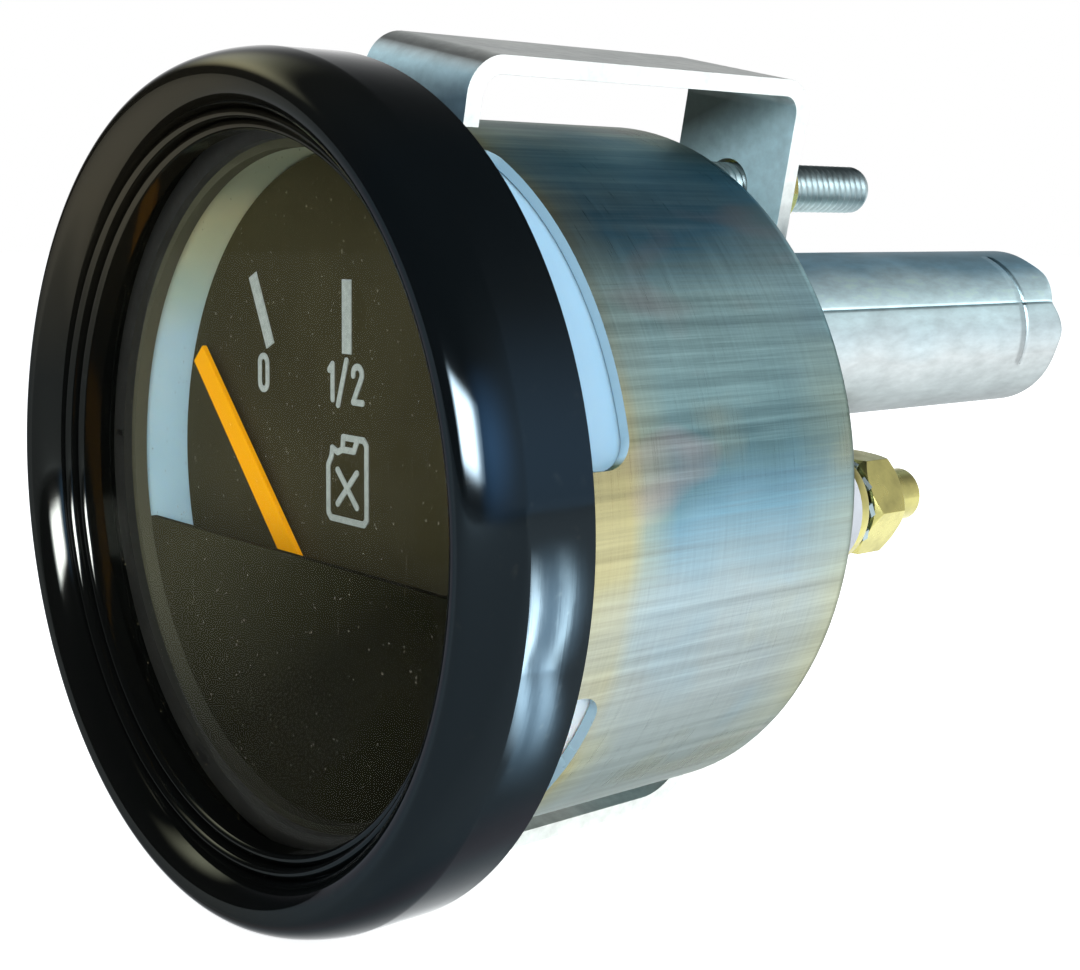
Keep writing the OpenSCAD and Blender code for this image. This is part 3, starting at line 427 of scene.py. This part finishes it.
def plated_can():
    """Zinc plate with a thin yellow and blue film, ground round the can and streaked along it, with painted
    reflection bands by height.
    """
    s = Shade("plated_can")
    _, y, z = s.split()
    turned = s.streaks((160, 5200, 160), 3, 0.75)
    streak = s.streaks((1100, 20, 1100), 5, 0.75)
    broad = s.streaks((75, 45, 75), 3, 0.5, (0.4, 0.1, 0.7))
    film = s.streaks((95, 80, 95), 3, 0.5, (2.3, 1.7, 0.2))
    colour = can_stains(s, can_film_and_reflection_bands(s, z, broad, streak), y, broad, film)
    shine = s.math("ADD", s.span(streak, 0.3, 0.7, 0.74, 1.2), s.span(turned, 0.3, 0.7, -0.08, 0.08))
    colour = s.dimmed(colour, shine)
    rough = s.math("ADD", s.span(turned, 0.3, 0.7, 0.26, 0.38), s.span(film, 0.3, 0.7, -0.04, 0.06))
    normal = s.bump(turned, 0.1, 0.00002)
    normal = s.bump(streak, 0.25, 0.00008, normal)
    cut = s.times(s.span(s.facing()[1], -0.5, -0.8), s.span(y, 0.002, 0.003))
    colour = s.mix(cut, colour, (0.40, 0.56, 0.64))
    around = s.add("ShaderNodeTangent", direction_type="RADIAL", axis="Y")
    return s.show(s.principled(
        Base_Color=colour, Metallic=s.span(cut, 0.0, 1.0, 1.0, 0.2), Roughness=rough, Normal=normal,
        Anisotropic=0.4, Tangent=around.outputs[0], Specular_Tint=(0.36, 0.37, 0.37, 1.0),
    ))


def gold_edge():
    """The yellow passivated film where it stayed thick, on the can's cut edges."""
    s = Shade("gold_edge")
    patch = s.noise(260, 3, 0.6)
    return s.show(s.principled(
        Base_Color=s.mix(s.span(patch, 0.35, 0.65), (0.66, 0.52, 0.22), (0.86, 0.76, 0.46)),
        Metallic=0.6, Roughness=s.span(patch, 0.3, 0.7, 0.25, 0.45),
    ))


def satin_zinc(name, tint, dull, rough, grain=(900, 900, 900), film=None, edge=1.0):
    """Pale zinc plate with faint blotches and a fine grain; film(shade, colour) lays painted shade and
    highlights over it.
    """
    s = Shade(name)
    blotch = s.noise(150, 4, 0.6)
    fine = s.streaks(grain, 3, 0.6)
    colour = s.mix(s.span(blotch, 0.35, 0.7), tint, dull)
    metal = 1.0
    # For the clamp and the lamp tube, film paints shade and highlights into the colour.
    if film:
        colour, metal = film(s, colour)
    roughness = s.span(s.math("ADD", blotch, s.times(fine, 0.5)), 0.5, 1.0, *rough)
    normal = s.bump(fine, 0.18, 0.00004)
    normal = s.bump(blotch, 0.1, 0.0001, normal)
    return s.show(s.principled(
        Base_Color=s.dimmed(colour, s.span(fine, 0.3, 0.7, 0.86, 1.1)), Metallic=metal,
        Roughness=roughness, Normal=normal, Specular_Tint=(edge, edge, edge, 1.0),
    ))


def bracket_painted_shade(s, colour):
    """Painted shade: the clamp's faces towards the dial are painted darker and bluer, and darker still
    towards its bend, for the shadow under its leg, and on its foot.
    """
    pale_blue, sky_blue = (0.44, 0.64, 0.69), (0.52, 0.70, 0.75)
    foot_shade_blue, bend_shadow_grey = (0.10, 0.16, 0.20), (0.05, 0.075, 0.065)
    x, y, z = s.split()
    front = s.span(s.facing()[1], -0.6, -0.9)
    cloud = s.span(s.noise(110, 3, 0.5), 0.3, 0.7)
    # Painted shade on the faces towards the dial, then a painted shadow at the bend under the leg and painted
    # shade on the foot.
    colour = s.mix(front, colour, s.mix(cloud, pale_blue, sky_blue))
    slope = s.math("ADD", z, s.times(s.math("SUBTRACT", 0.006, x), 0.35))
    foot = s.times(front, s.span(z, 0.0302, 0.0265), s.span(y, 0.014, 0.012))
    bend = s.times(front, s.span(slope, 0.0235, 0.029), s.span(y, 0.02, 0.03))
    colour = s.mix(foot, colour, foot_shade_blue)
    return s.mix(bend, colour, bend_shadow_grey), s.span(front, 0.0, 1.0, 1.0, 0.2)


def tube_painted_shading(s, colour):
    """Painted shading by height: the tube's zinc is painted darker and bluer along its top and duller
    underneath, as shade, with a painted highlight band just below the top.
    """
    height = s.math("ADD", s.split()[2], s.span(s.noise(120, 2, 0.5), 0.3, 0.7, -0.0006, 0.0006))
    # Painted shade at the top and underneath, and a painted highlight band just below the top.
    return s.ramp(height, 0.0035, 0.0165, [
        (0.0038, (0.27, 0.30, 0.30)), (0.0060, (0.38, 0.42, 0.42)), (0.0082, (0.47, 0.50, 0.50)),
        (0.0105, (0.50, 0.60, 0.63)), (0.0128, (0.72, 0.95, 1.0)), (0.0141, (0.68, 0.92, 1.0)),
        (0.0152, (0.33, 0.58, 0.72)), (0.016, (0.22, 0.40, 0.50)),
    ]), 1.0


def clamp_zinc():
    """The clamp's bright zinc, with painted shade laid over it."""
    return satin_zinc(
        "bright_zinc", (0.80, 0.83, 0.80), (0.75, 0.78, 0.76), (0.4, 0.5), film=bracket_painted_shade, edge=0.9
    )


def tube_zinc():
    """The lamp tube's zinc, with its grain along the tube and painted shading by height."""
    return satin_zinc(
        "tube_zinc", (0.60, 0.67, 0.70), (0.54, 0.61, 0.64), (0.36, 0.44), (1400, 500, 1400), tube_painted_shading, 0.6
    )


def brass():
    """Turned brass, a little tarnished in blotches."""
    s = Shade("brass")
    tarnish = s.noise(380, 4, 0.6)
    lines = s.streaks((500, 5200, 500), 2, 0.6)
    return s.show(s.principled(
        Base_Color=s.mix(s.span(tarnish, 0.42, 0.7), (0.51, 0.47, 0.17), (0.37, 0.34, 0.13)),
        Metallic=1.0, Roughness=s.span(tarnish, 0.3, 0.75, 0.2, 0.42), Normal=s.bump(lines, 0.2, 0.00003),
    ))


def lacquer(name, dark, light, upper_left_tone=None):
    """Matt warm black lacquer with a fine grain, which may turn lighter and browner towards the upper left.
    """
    s = Shade(name)
    grain = s.noise(5200, 2, 0.6)
    cloud = s.noise(70, 3, 0.5)
    colour = s.mix(s.span(cloud, 0.3, 0.7), dark, light)
    if upper_left_tone:
        x, _, z = s.split()
        colour = s.mix(s.span(s.math("SUBTRACT", z, s.times(x, 0.6)), -0.014, 0.004), colour, upper_left_tone)
    colour = s.mix(s.span(grain, 0.62, 0.8, 0.0, 0.12), colour, (0.06, 0.05, 0.03))
    return s.show(s.principled(
        Base_Color=colour, Roughness=s.span(grain, 0.3, 0.7, 0.65, 0.9),
        Normal=s.bump(grain, 0.25, 0.00001), Specular_IOR_Level=0.02,
    ))


def mask_black():
    """The mask plate's lacquer, deep black away from the upper left."""
    return lacquer("mask_black", (0.004, 0.0036, 0.0008), (0.006, 0.0052, 0.0012), (0.046, 0.040, 0.020))


def printed_ink(name, colour, worn, glow=0.0):
    """Screen-printed or sprayed paint with slightly uneven cover; glow gives it a painted glow, light of its
    own though it is no lamp.
    """
    s = Shade(name)
    cover = s.noise(2600, 3, 0.6)
    shade = s.mix(s.span(cover, 0.35, 0.8), colour, worn)
    # Painted glow: the emission lets the paint give off light by itself.
    return s.show(s.principled(
        Base_Color=shade, Roughness=s.span(cover, 0.3, 0.7, 0.5, 0.75),
        Normal=s.bump(cover, 0.25, 0.00002), Specular_IOR_Level=0.05,
        Emission_Color=shade, Emission_Strength=glow,
    ))


def light_plastic():
    """Milky blue translucent plastic, with painted shade round the dial, yellower and darker towards the top,
    and in the slots darker blue higher up and near-white low down.
    """
    blue, pale_blue = (0.42, 0.61, 0.72), (0.54, 0.71, 0.80)
    slot_blue, slot_white = (0.30, 0.47, 0.60), (0.92, 0.97, 1.0)
    s = Shade("light_plastic")
    z = s.split()[2]
    cloud = s.noise(120, 3, 0.5)
    in_slots = s.math("GREATER_THAN", s.reach(), RING_INSIDE)
    round_dial = s.math("LESS_THAN", s.reach(), RING_INSIDE)
    # Painted shade round the dial: the plastic turns yellower and then darker towards the top, where less
    # light reaches it.
    painted_top_shade = s.ramp(z, 0.0, 0.022, [
        (0.0, (1.0, 1.0, 1.0)), (0.009, (1.0, 1.0, 1.0)), (0.0125, (1.1, 0.94, 0.70)),
        (0.016, (1.2, 0.86, 0.50)), (0.0185, (1.2, 0.80, 0.42)), (0.021, (0.75, 0.55, 0.32)),
    ])
    colour = s.mix(s.span(cloud, 0.3, 0.7), blue, pale_blue)
    colour = s.mix(s.times(in_slots, s.span(z, -0.016, -0.008)), colour, slot_blue)
    colour = s.mix(round_dial, colour, s.mix(1.0, colour, painted_top_shade, "MULTIPLY"))
    colour = s.mix(s.times(in_slots, s.span(z, -0.009, -0.014)), colour, slot_white)
    return s.show(s.principled(
        Base_Color=colour, Roughness=s.span(cloud, 0.3, 0.7, 0.28, 0.42),
        Subsurface_Weight=0.6, Subsurface_Radius=(0.6, 0.8, 1.0), Subsurface_Scale=0.0012,
    ))


def moulded(name, colour, dark, rough=(0.4, 0.6)):
    """Plain moulded or pressed stuff: plastic, rubber, board, glaze."""
    s = Shade(name)
    mottle = s.noise(700, 4, 0.6)
    return s.show(s.principled(
        Base_Color=s.mix(s.span(mottle, 0.3, 0.75), colour, dark),
        Roughness=s.span(mottle, 0.3, 0.7, *rough), Normal=s.bump(mottle, 0.3, 0.00004),
    ))


def wound_copper():
    """Enamelled wire laid side by side, turn by turn along Z."""
    wire = 0.00025
    s = Shade("wound_copper")
    turn = s.math("FRACT", s.times(s.split()[2], 1 / wire))
    hump = s.math("SINE", s.times(turn, math.pi))
    tone = s.noise(500, 3, 0.6)
    colour = s.mix(s.span(tone, 0.3, 0.7), (0.50, 0.17, 0.06), (0.68, 0.28, 0.10))
    # Painted shade: the wire darkens in the creases between its turns.
    colour = s.mix(s.span(hump, 0.5, 0.0, 0.0, 0.8), colour, (0.08, 0.02, 0.01))
    return s.show(s.principled(
        Base_Color=colour, Metallic=0.8, Roughness=s.span(tone, 0.3, 0.7, 0.25, 0.4),
        Normal=s.bump(hump, 0.8, 0.00008),
    ))


# The finish of each of the record's slots
MATERIALS = {
    "black_enamel": black_enamel(),
    "glass": lens_glass(),
    "rubber": moulded("rubber", (0.010, 0.009, 0.007), (0.018, 0.016, 0.012), (0.7, 0.9)),
    "black_card": lacquer(
        "black_card", (0.012, 0.011, 0.007), (0.018, 0.016, 0.010), (0.085, 0.078, 0.050)
    ),
    "zinc_steel": plated_can(),
    "bright_zinc": clamp_zinc(),
    "translucent_blue": light_plastic(),
    "dial_black": lacquer("dial_black", (0.045, 0.037, 0.0175), (0.061, 0.051, 0.025)),
    "white_print": printed_ink("white_print", (0.50, 0.51, 0.47), (0.36, 0.37, 0.34)),
    # The orange pointer paint carries a small painted glow.
    "orange_paint": printed_ink("orange_paint", (1.0, 0.43, 0.0), (1.0, 0.37, 0.0), glow=0.14),
    "brass": brass(),
    "steel": satin_zinc("stud_steel", (0.38, 0.48, 0.49), (0.31, 0.39, 0.41), (0.36, 0.5)),
    "magnet": moulded("magnet", (0.09, 0.09, 0.1), (0.14, 0.14, 0.15)),
    "cream_plastic": moulded("cream_plastic", (0.72, 0.68, 0.56), (0.62, 0.58, 0.46)),
    "copper": wound_copper(),
    "brown_board": moulded("brown_board", (0.13, 0.06, 0.03), (0.2, 0.1, 0.05), (0.5, 0.7)),
    "resistor_green": moulded("resistor_green", (0.16, 0.22, 0.1), (0.12, 0.17, 0.08), (0.15, 0.3)),
    "white_insulator": moulded("white_insulator", (0.51, 0.52, 0.55), (0.46, 0.47, 0.50)),
}


# Pieces that replace CAD nodes

def make_bezel():
    """The glossy ring: rounded rim, roll into the opening, two beads and the lens's lip."""
    edge, crease = 0.15, 0.08
    rim_r, side_h, crease_y = 1.9, 3.2, 5.0
    roll_w, roll_foot = 2.2, 6.2
    inner_bead, lip_bead = (0.37, 0.5), (0.38, 0.45)
    lip_bead_y = 0.7 - roll_foot
    crest_r = BEZEL_R - rim_r
    turn_start = math.asin((crease_y - side_h) / (BEZEL_H - side_h))
    full_r = rim_r / math.cos(turn_start)
    bore_r = HOUSING_R + 0.1
    lip_r = HOUSING_R - 1.5
    bead_r = crest_r - roll_w - 0.38
    lens_front = -LENS_LOW.y
    profile = [(bore_r + edge, 0), (BEZEL_R - edge, 0), (BEZEL_R, -edge), (BEZEL_R, -crease_y + crease)]
    profile += arc(
        (crest_r, -side_h), (full_r, BEZEL_H - side_h), -math.degrees(turn_start) - 0.5, -90, 30
    )
    profile += arc((crest_r, -roll_foot), (roll_w, BEZEL_H - roll_foot), -92, -180, 18)
    profile += arc((bead_r, -roll_foot), inner_bead, 0, -180, 12)
    profile += arc((lip_r + lip_bead[0], lip_bead_y), lip_bead, 0, -180, 12)
    profile += [(lip_r, -lens_front), (bore_r, -lens_front), (bore_r, -edge)]
    stand_for(finish_mesh(lathe(profile, 256), "bezel_ring", 50), "bezel", MATERIALS["black_enamel"])


def make_lens():
    """The glass, with ground edges."""
    radius, edge = LENS_HIGH.x, 0.25
    front, back = LENS_LOW.y, LENS_HIGH.y
    profile = [(0, front), (radius - edge, front), (radius, front + edge)]
    profile += [(radius, back - edge), (radius - edge, back), (0, back)]
    piece = finish_mesh(lathe(profile, 192, closed=False), "lens_disc", 20)
    stand_for(piece, "lens", MATERIALS["glass"])


STUD_R = 2.0
STUD_HEAD_R = 2.6
STUD_TIP = 1.1
THREAD_PITCH = 0.7
THREAD_DEPTH = 0.36 * THREAD_PITCH


def thread_radius(y, turn, y_from, y_to):
    """The radius of a stud at y; turn is how far round it the point lies, from 0 to 1."""
    roundness, first_groove, tip_slope = 1.3, 0.2, 0.9
    phase = (y / THREAD_PITCH - turn) % 1.0
    groove = THREAD_DEPTH * (1 - abs(2 * phase - 1)) ** roundness
    fade = min(1.0, (y - y_from) / THREAD_PITCH, max(0.0, (y_to - y) / STUD_TIP + first_groove))
    chamfer = max(0.0, STUD_TIP - (y_to - y))
    return min(STUD_R - groove * max(0.0, fade), STUD_R - tip_slope * chamfer * chamfer / STUD_TIP)


def thread_mesh(bm, place, y_from, y_to, around=40, per_turn=8):
    """A threaded rod: a helical groove over its length, fading out at both ends."""
    rows = int((y_to - y_from) / THREAD_PITCH * per_turn)
    rings = []
    for row in range(rows + 1):
        y = y_from + (y_to - y_from) * row / rows
        rings.append([
            bm.verts.new(at_angle(
                place, thread_radius(y, i / around, y_from, y_to), 2 * math.pi * i / around, y
            ))
            for i in range(around)
        ])
    skin(bm, zip(rings, rings[1:]))
    bm.faces.new(rings[0])
    bm.faces.new(rings[-1])


def make_clamp_studs():
    """Two threaded steel studs with their heads inside the can."""
    wall_inside = HOUSING_BACK - 0.8
    head = [(0, STUDS_LOW.y), (STUD_HEAD_R, STUDS_LOW.y), (STUD_HEAD_R, wall_inside), (0, wall_inside)]
    bm = bmesh.new()
    for sign in (1, -1):
        place = (sign * (STUDS_HIGH.x - STUD_HEAD_R), sign * (STUDS_HIGH.z - STUD_HEAD_R))
        thread_mesh(bm, place, wall_inside, STUDS_HIGH.y)
        merge(bm, lathe(head, 40, place, closed=False))
    piece = finish_mesh(bm, "clamp_stud_threads", 40)
    stand_for(piece, "clamp_studs", MATERIALS["steel"], weighted=False)


# Lamp tube: a rolled sheet with an open seam, a cross slit, a domed end and two pressed bumps
TUBE_WALL = 0.5
TUBE_END = TUBE_HIGH.y - 0.2
DOME_FLAT, DOME_L = 0.8, 2.6
SEAM_ANGLE, SEAM_W = math.radians(69), 0.03
SEAM_LIP, SEAM_LIP_W = 0.05, 0.3
SLIT_Y, SLIT_W, SLIT_HALF = TUBE_END - 6.9, 0.24, math.radians(48)
BUMP_Y, BUMP_ANGLE = TUBE_END - 1.6, math.radians(23)
BUMP_H, BUMP_SPREAD = 0.26, 0.8125
BUMP_OUT, BUMP_BACK = 0.8, 0.25
NOTCH_DEPTH, NOTCH_HALF = 0.34, math.radians(8)
NOTCH_BEFORE_DOME, NOTCH_GROWS = 0.6, 1.6


def from_seam(angle):
    """How far an angle is from the seam, from -pi to pi."""
    return (angle - SEAM_ANGLE + math.pi) % (2 * math.pi) - math.pi


def tube_profile(rows_before):
    """The (radius, y) of each row of the sheet, with the slit after rows_before steps."""
    rows_behind = 8
    before = SLIT_Y - TUBE_LOW.y
    behind = TUBE_END - DOME_L - SLIT_Y - SLIT_W
    ys = [TUBE_LOW.y + before * i / rows_before for i in range(rows_before + 1)]
    ys += [SLIT_Y + SLIT_W + behind * i / rows_behind for i in range(rows_behind + 1)]
    dome = arc((DOME_FLAT, TUBE_END - DOME_L), (TUBE_R - DOME_FLAT, DOME_L), 0, 88, 22)
    return [(TUBE_R, y) for y in ys] + dome[1:]


def tube_point(radius, y, angle):
    """A point of the sheet, moved by the bumps, the seam's lips and the notch that cuts the dome."""
    off = from_seam(angle)
    lift = 0.0
    for side in (-1, 1):
        across = (off - side * BUMP_ANGLE) * radius
        lift += BUMP_H * math.exp(-(across ** 2 + (y - BUMP_Y) ** 2) / (2 * BUMP_SPREAD ** 2))
    deepen = min(1.0, max(0.0, (y - TUBE_END + DOME_L + NOTCH_BEFORE_DOME) / NOTCH_GROWS))
    lip = SEAM_LIP * math.exp(-(abs(off) * radius / SEAM_LIP_W) ** 2)
    lip += NOTCH_DEPTH * deepen * math.exp(-(off / NOTCH_HALF) ** 2)
    moved_r = min(radius + lift * BUMP_OUT - lip, TUBE_R)
    moved_y = min(y + lift * BUMP_BACK * (radius < TUBE_R), TUBE_END)
    return at_angle(TUBE_PLACE, moved_r, angle, moved_y)


def make_lamp_tube():
    """The rolled sheet, with its wall's thickness laid on inwards."""
    steps, slit_row = 160, 40
    bm = bmesh.new()
    grid = []
    for radius, y in tube_profile(slit_row):
        gap = SEAM_W / 2 / max(radius, 0.1)
        turn = 2 * math.pi - 2 * gap
        angles = [SEAM_ANGLE + gap + turn * i / steps for i in range(steps + 1)]
        grid.append([bm.verts.new(tube_point(radius, y, angle)) for angle in angles])
    for row, (a, b) in enumerate(zip(grid, grid[1:])):
        for i in range(steps):
            off = from_seam(SEAM_ANGLE + 2 * math.pi * (i + 0.5) / steps)
            if row != slit_row or abs(off) >= SLIT_HALF:
                bm.faces.new((a[i], a[i + 1], b[i + 1], b[i]))
    piece = finish_mesh(bm, "lamp_tube_sheet", 40)
    sheet = piece.modifiers.new("sheet", "SOLIDIFY")
    sheet.thickness = TUBE_WALL * MM
    sheet.offset = -1.0
    stand_for(piece, "lamp_tube", tube_zinc(), weighted=False)


def make_rounded_nodes():
    """The CAD shapes that only need rounded edges and a finish."""
    dressed("housing", MATERIALS["zinc_steel"], 0.15, edge_material=gold_edge())
    dressed("clamp_bracket", MATERIALS["bright_zinc"], 0.22, segments=3)
    dressed("light_ring", MATERIALS["translucent_blue"], 0.08)
    dressed("mask_plate", mask_black(), 0.06)
    dressed("pointer_blade", MATERIALS["orange_paint"], 0.05)
    dressed("pointer_hub", MATERIALS["dial_black"], 0.06)
    for nut in ("terminal_nut_right", "terminal_nut_left", "clamp_nut_upper", "clamp_nut_lower"):
        dressed(nut, MATERIALS["brass"], 0.07)
    for ring in ("outer_insulators", "flat_washers"):
        dressed(ring, MATERIALS[SLOT_OF[ring]], 0.12)
    dressed("lock_washers", MATERIALS["steel"], 0.05, segments=1)


def finish_cad_nodes():
    """Every CAD node takes its slot's material."""
    for node, thing in NODES.items():
        thing.data.materials.clear()
        thing.data.materials.append(MATERIALS[SLOT_OF[node]])


# Camera: its axis passes through the point (540, 360) of the 1080 x 970 picture
IMAGE_W, IMAGE_H = 1080, 970
AXIS_PIXEL = (540, 360)
FOCAL_PIXELS = 1717.719
AZIMUTH, ELEVATION, ROLL = math.radians(49.971), math.radians(4.482), math.radians(-0.337)
DISTANCE, SHIFT_RIGHT, SHIFT_DOWN = 120.976, -16.057, 8.685


def make_camera():
    """Looks from the photo's direction, moved sideways so that the gauge lies where the photo has it."""
    back = Vector((
        math.sin(AZIMUTH) * math.cos(ELEVATION), -math.cos(AZIMUTH) * math.cos(ELEVATION), math.sin(ELEVATION)
    ))
    right = (-back).cross(Vector((0, 0, 1))).normalized()
    down = (-back).cross(right)
    right, down = (
        math.cos(ROLL) * right + math.sin(ROLL) * down,
        -math.sin(ROLL) * right + math.cos(ROLL) * down,
    )
    place = back * DISTANCE - SHIFT_RIGHT * right - SHIFT_DOWN * down
    data = bpy.data.cameras.new("camera")
    data.sensor_fit = "HORIZONTAL"
    data.sensor_width = 36
    data.lens = FOCAL_PIXELS / IMAGE_W * data.sensor_width
    data.shift_y = -(IMAGE_H / 2 - AXIS_PIXEL[1]) / IMAGE_W
    data.clip_start = 0.01
    camera = bpy.data.objects.new("camera", data)
    bpy.context.scene.collection.objects.link(camera)
    camera.matrix_world = Matrix((
        (right.x, -down.x, back.x, place.x * MM),
        (right.y, -down.y, back.y, place.y * MM),
        (right.z, -down.z, back.z, place.z * MM),
        (0, 0, 0, 1),
    ))
    bpy.context.scene.camera = camera


# Backdrop and lamps

def make_world():
    """A white wall behind the gauge, greyer at the other sides and dark above, and a plain room light."""
    s = Shade("studio", bpy.data.worlds.new("studio"), "World", "Generated")
    _, y, z = s.split()
    behind = s.smooth(y, -0.3, 0.32, 0.08, 1.0)
    below = s.smooth(z, 0.22, 0.85, 1.0, 0.05)
    wall = s.math("MAXIMUM", s.times(behind, below), s.camera_ray())
    backdrop = s.add("ShaderNodeBackground", {"Color": (1, 1, 1, 1), "Strength": wall})
    room = s.add("ShaderNodeBackground", {"Color": (0.88, 0.95, 1.0, 1), "Strength": 0.45})
    bpy.context.scene.world = s.show(s.blend(s.backdrop_ray(), room, backdrop))


def white_floor():
    """White to the camera; metal and glass see it darker beside the can and in front of it."""
    white, shade = 0.8, 0.12
    s = Shade("floor_white")
    x, y, _ = s.split()
    surface = s.principled(Base_Color=(0.86, 0.86, 0.86), Roughness=0.9, Specular_IOR_Level=0.0)
    near = s.math("SUBTRACT", s.math("SUBTRACT", s.times(x, 1.2), y), 0.016)
    aside = s.math("SUBTRACT", s.times(x, 0.45), y)
    sweep = s.span(s.math("MINIMUM", near, aside), 0.0, 0.024, white, shade)
    sweep = s.math("MAXIMUM", sweep, s.times(s.camera_ray(), white))
    inputs = {"Color": (1, 1, 1, 1), "Strength": s.times(s.backdrop_ray(), sweep)}
    glow = s.add("ShaderNodeEmission", inputs)
    return s.show(s.add("ShaderNodeAddShader", {0: surface.outputs[0], 1: glow.outputs[0]}))


def make_floor():
    """A floor just below the bezel and the clamp, which keeps the gauge's soft shadow."""
    level = (min(BEZEL_LOW.z, BRACKET_LOW.z) - 0.1) * MM
    half = 2.5
    bm = bmesh.new()
    corners = ((-half, -half), (half, -half), (half, half), (-half, half))
    bm.faces.new([bm.verts.new((x, y, level)) for x, y in corners])
    mesh = bpy.data.meshes.new("floor")
    bm.to_mesh(mesh)
    bm.free()
    floor = bpy.data.objects.new("floor", mesh)
    bpy.context.scene.collection.objects.link(floor)
    mesh.materials.append(white_floor())


def area_light(name, place, size, power, colour):
    """A soft rectangular lamp that faces the gauge."""
    data = bpy.data.lights.new(name, "AREA")
    data.shape = "RECTANGLE"
    data.size, data.size_y = size
    data.energy = power
    data.color = colour
    lamp = bpy.data.objects.new(name, data)
    bpy.context.scene.collection.objects.link(lamp)
    lamp.location = place
    lamp.rotation_mode = "QUATERNION"
    lamp.rotation_quaternion = (-Vector(place)).to_track_quat("-Z", "Y")
    return lamp


def soften_edges(data, margin):
    """The lamp fades out towards its borders, over margin parts of its size."""
    s = Shade(data.name, data, "Light")
    across = s.parts(s.add("ShaderNodeNewGeometry").outputs["Parametric"])
    level = 1.0
    for axis in (0, 1):
        for low, high in ((0.0, margin), (1.0, 1.0 - margin)):
            level = s.times(s.smooth(across[axis], low, high), level)
    s.show(s.add("ShaderNodeEmission", {"Strength": level}))


# What the enamel's own lamps shine on
ENAMEL_ONLY = bpy.data.collections.new("enamel_only")


def enamel_light(name, place, size, power, colour, margin):
    """A lamp that only the enamel mirrors."""
    lamp = area_light(name, place, size, power, colour)
    lamp.visible_diffuse = False
    lamp.visible_camera = False
    lamp.light_linking.receiver_collection = ENAMEL_ONLY
    soften_edges(lamp.data, margin)
    return lamp


def side_streak(name, start, end, width, radiance, colour):
    """A bright strip beside the bezel, from start to end in millimetres, that its side mirrors."""
    mirror_spot = Vector((0.029, -0.003, -0.008))
    start, end = Vector(start) * MM, Vector(end) * MM
    middle = (start + end) / 2
    length = (end - start).length
    along = (end - start).normalized()
    towards = (mirror_spot - middle).normalized()
    across = along.cross(towards).normalized()
    back = along.cross(across).normalized()
    if back.dot(towards) > 0:
        across, back = -across, -back
    power = radiance * math.pi * length * width * MM
    lamp = enamel_light(name, middle, (length, width * MM), power, colour, 0.45)
    lamp.rotation_quaternion = Matrix((along, across, back)).transposed().to_quaternion()


def make_lamps():
    """Two lamps that light the gauge, and the lamps and strips that the enamel mirrors."""
    overhead = area_light("overhead", (0.25, 0.0, 0.6), (0.4, 0.4), 3.0, (0.95, 0.98, 1.0))
    overhead.visible_glossy = False
    area_light("window", (0.47, -0.33, 0.165), (0.56, 0.2), 3.0, (0.9, 0.96, 1.0))
    ENAMEL_ONLY.objects.link(bpy.data.objects["bezel_ring"])
    for name, place, size, power, colour, margin in (
        ("window_shine", (0.45, -0.316, 0.158), (0.52, 0.24), 48.0, (1.0, 0.97, 0.97), 0.3),
        ("sky_shine", (0.58, 0.0, 0.14), (0.5, 0.46), 4.4, (0.26, 0.56, 1.0), 0.5),
        ("side_sky", (0.60, 0.45, 0.1), (1.0, 1.0), 5.0, (0.30, 0.62, 1.0), 0.5),
        ("brown_wall", (-0.54, -0.08, 0.5), (0.9, 0.5), 12.0, (1.0, 0.97, 0.72), 0.5),
    ):
        enamel_light(name, place, size, power, colour, margin)
    for name, start, end, width, radiance, colour in (
        ("streak_inner", (62.4, 21.3, -6.0), (51.0, 21.1, -38.0), 2.0, 90.0, (0.95, 0.99, 1.0)),
        ("streak_outer", (61.4, 25.4, -5.0), (50.0, 25.1, -38.0), 2.2, 46.0, (0.9, 0.98, 1.0)),
        ("streak_inner_low", (64.0, 27.2, -30.6), (33.0, 9.9, -30.6), 2.4, 50.0, (0.80, 0.92, 1.0)),
        ("streak_outer_low", (64.0, 31.5, -30.6), (31.0, 11.6, -30.6), 3.0, 26.0, (0.80, 0.92, 1.0)),
        ("streak_glow", (61.8, 23.2, -4.0), (50.5, 23.0, -38.0), 10.0, 14.0, (0.6, 0.82, 1.0)),
        ("streak_glow_low", (60.0, 27.0, -30.6), (27.0, 7.7, -30.6), 8.0, 12.0, (0.6, 0.82, 1.0)),
    ):
        side_streak(name, start, end, width, radiance, colour)


make_bezel()
make_lens()
make_clamp_studs()
make_lamp_tube()
make_rounded_nodes()
finish_cad_nodes()
bpy.context.scene.view_settings.view_transform = "Standard"
make_camera()
make_world()
make_floor()
make_lamps()
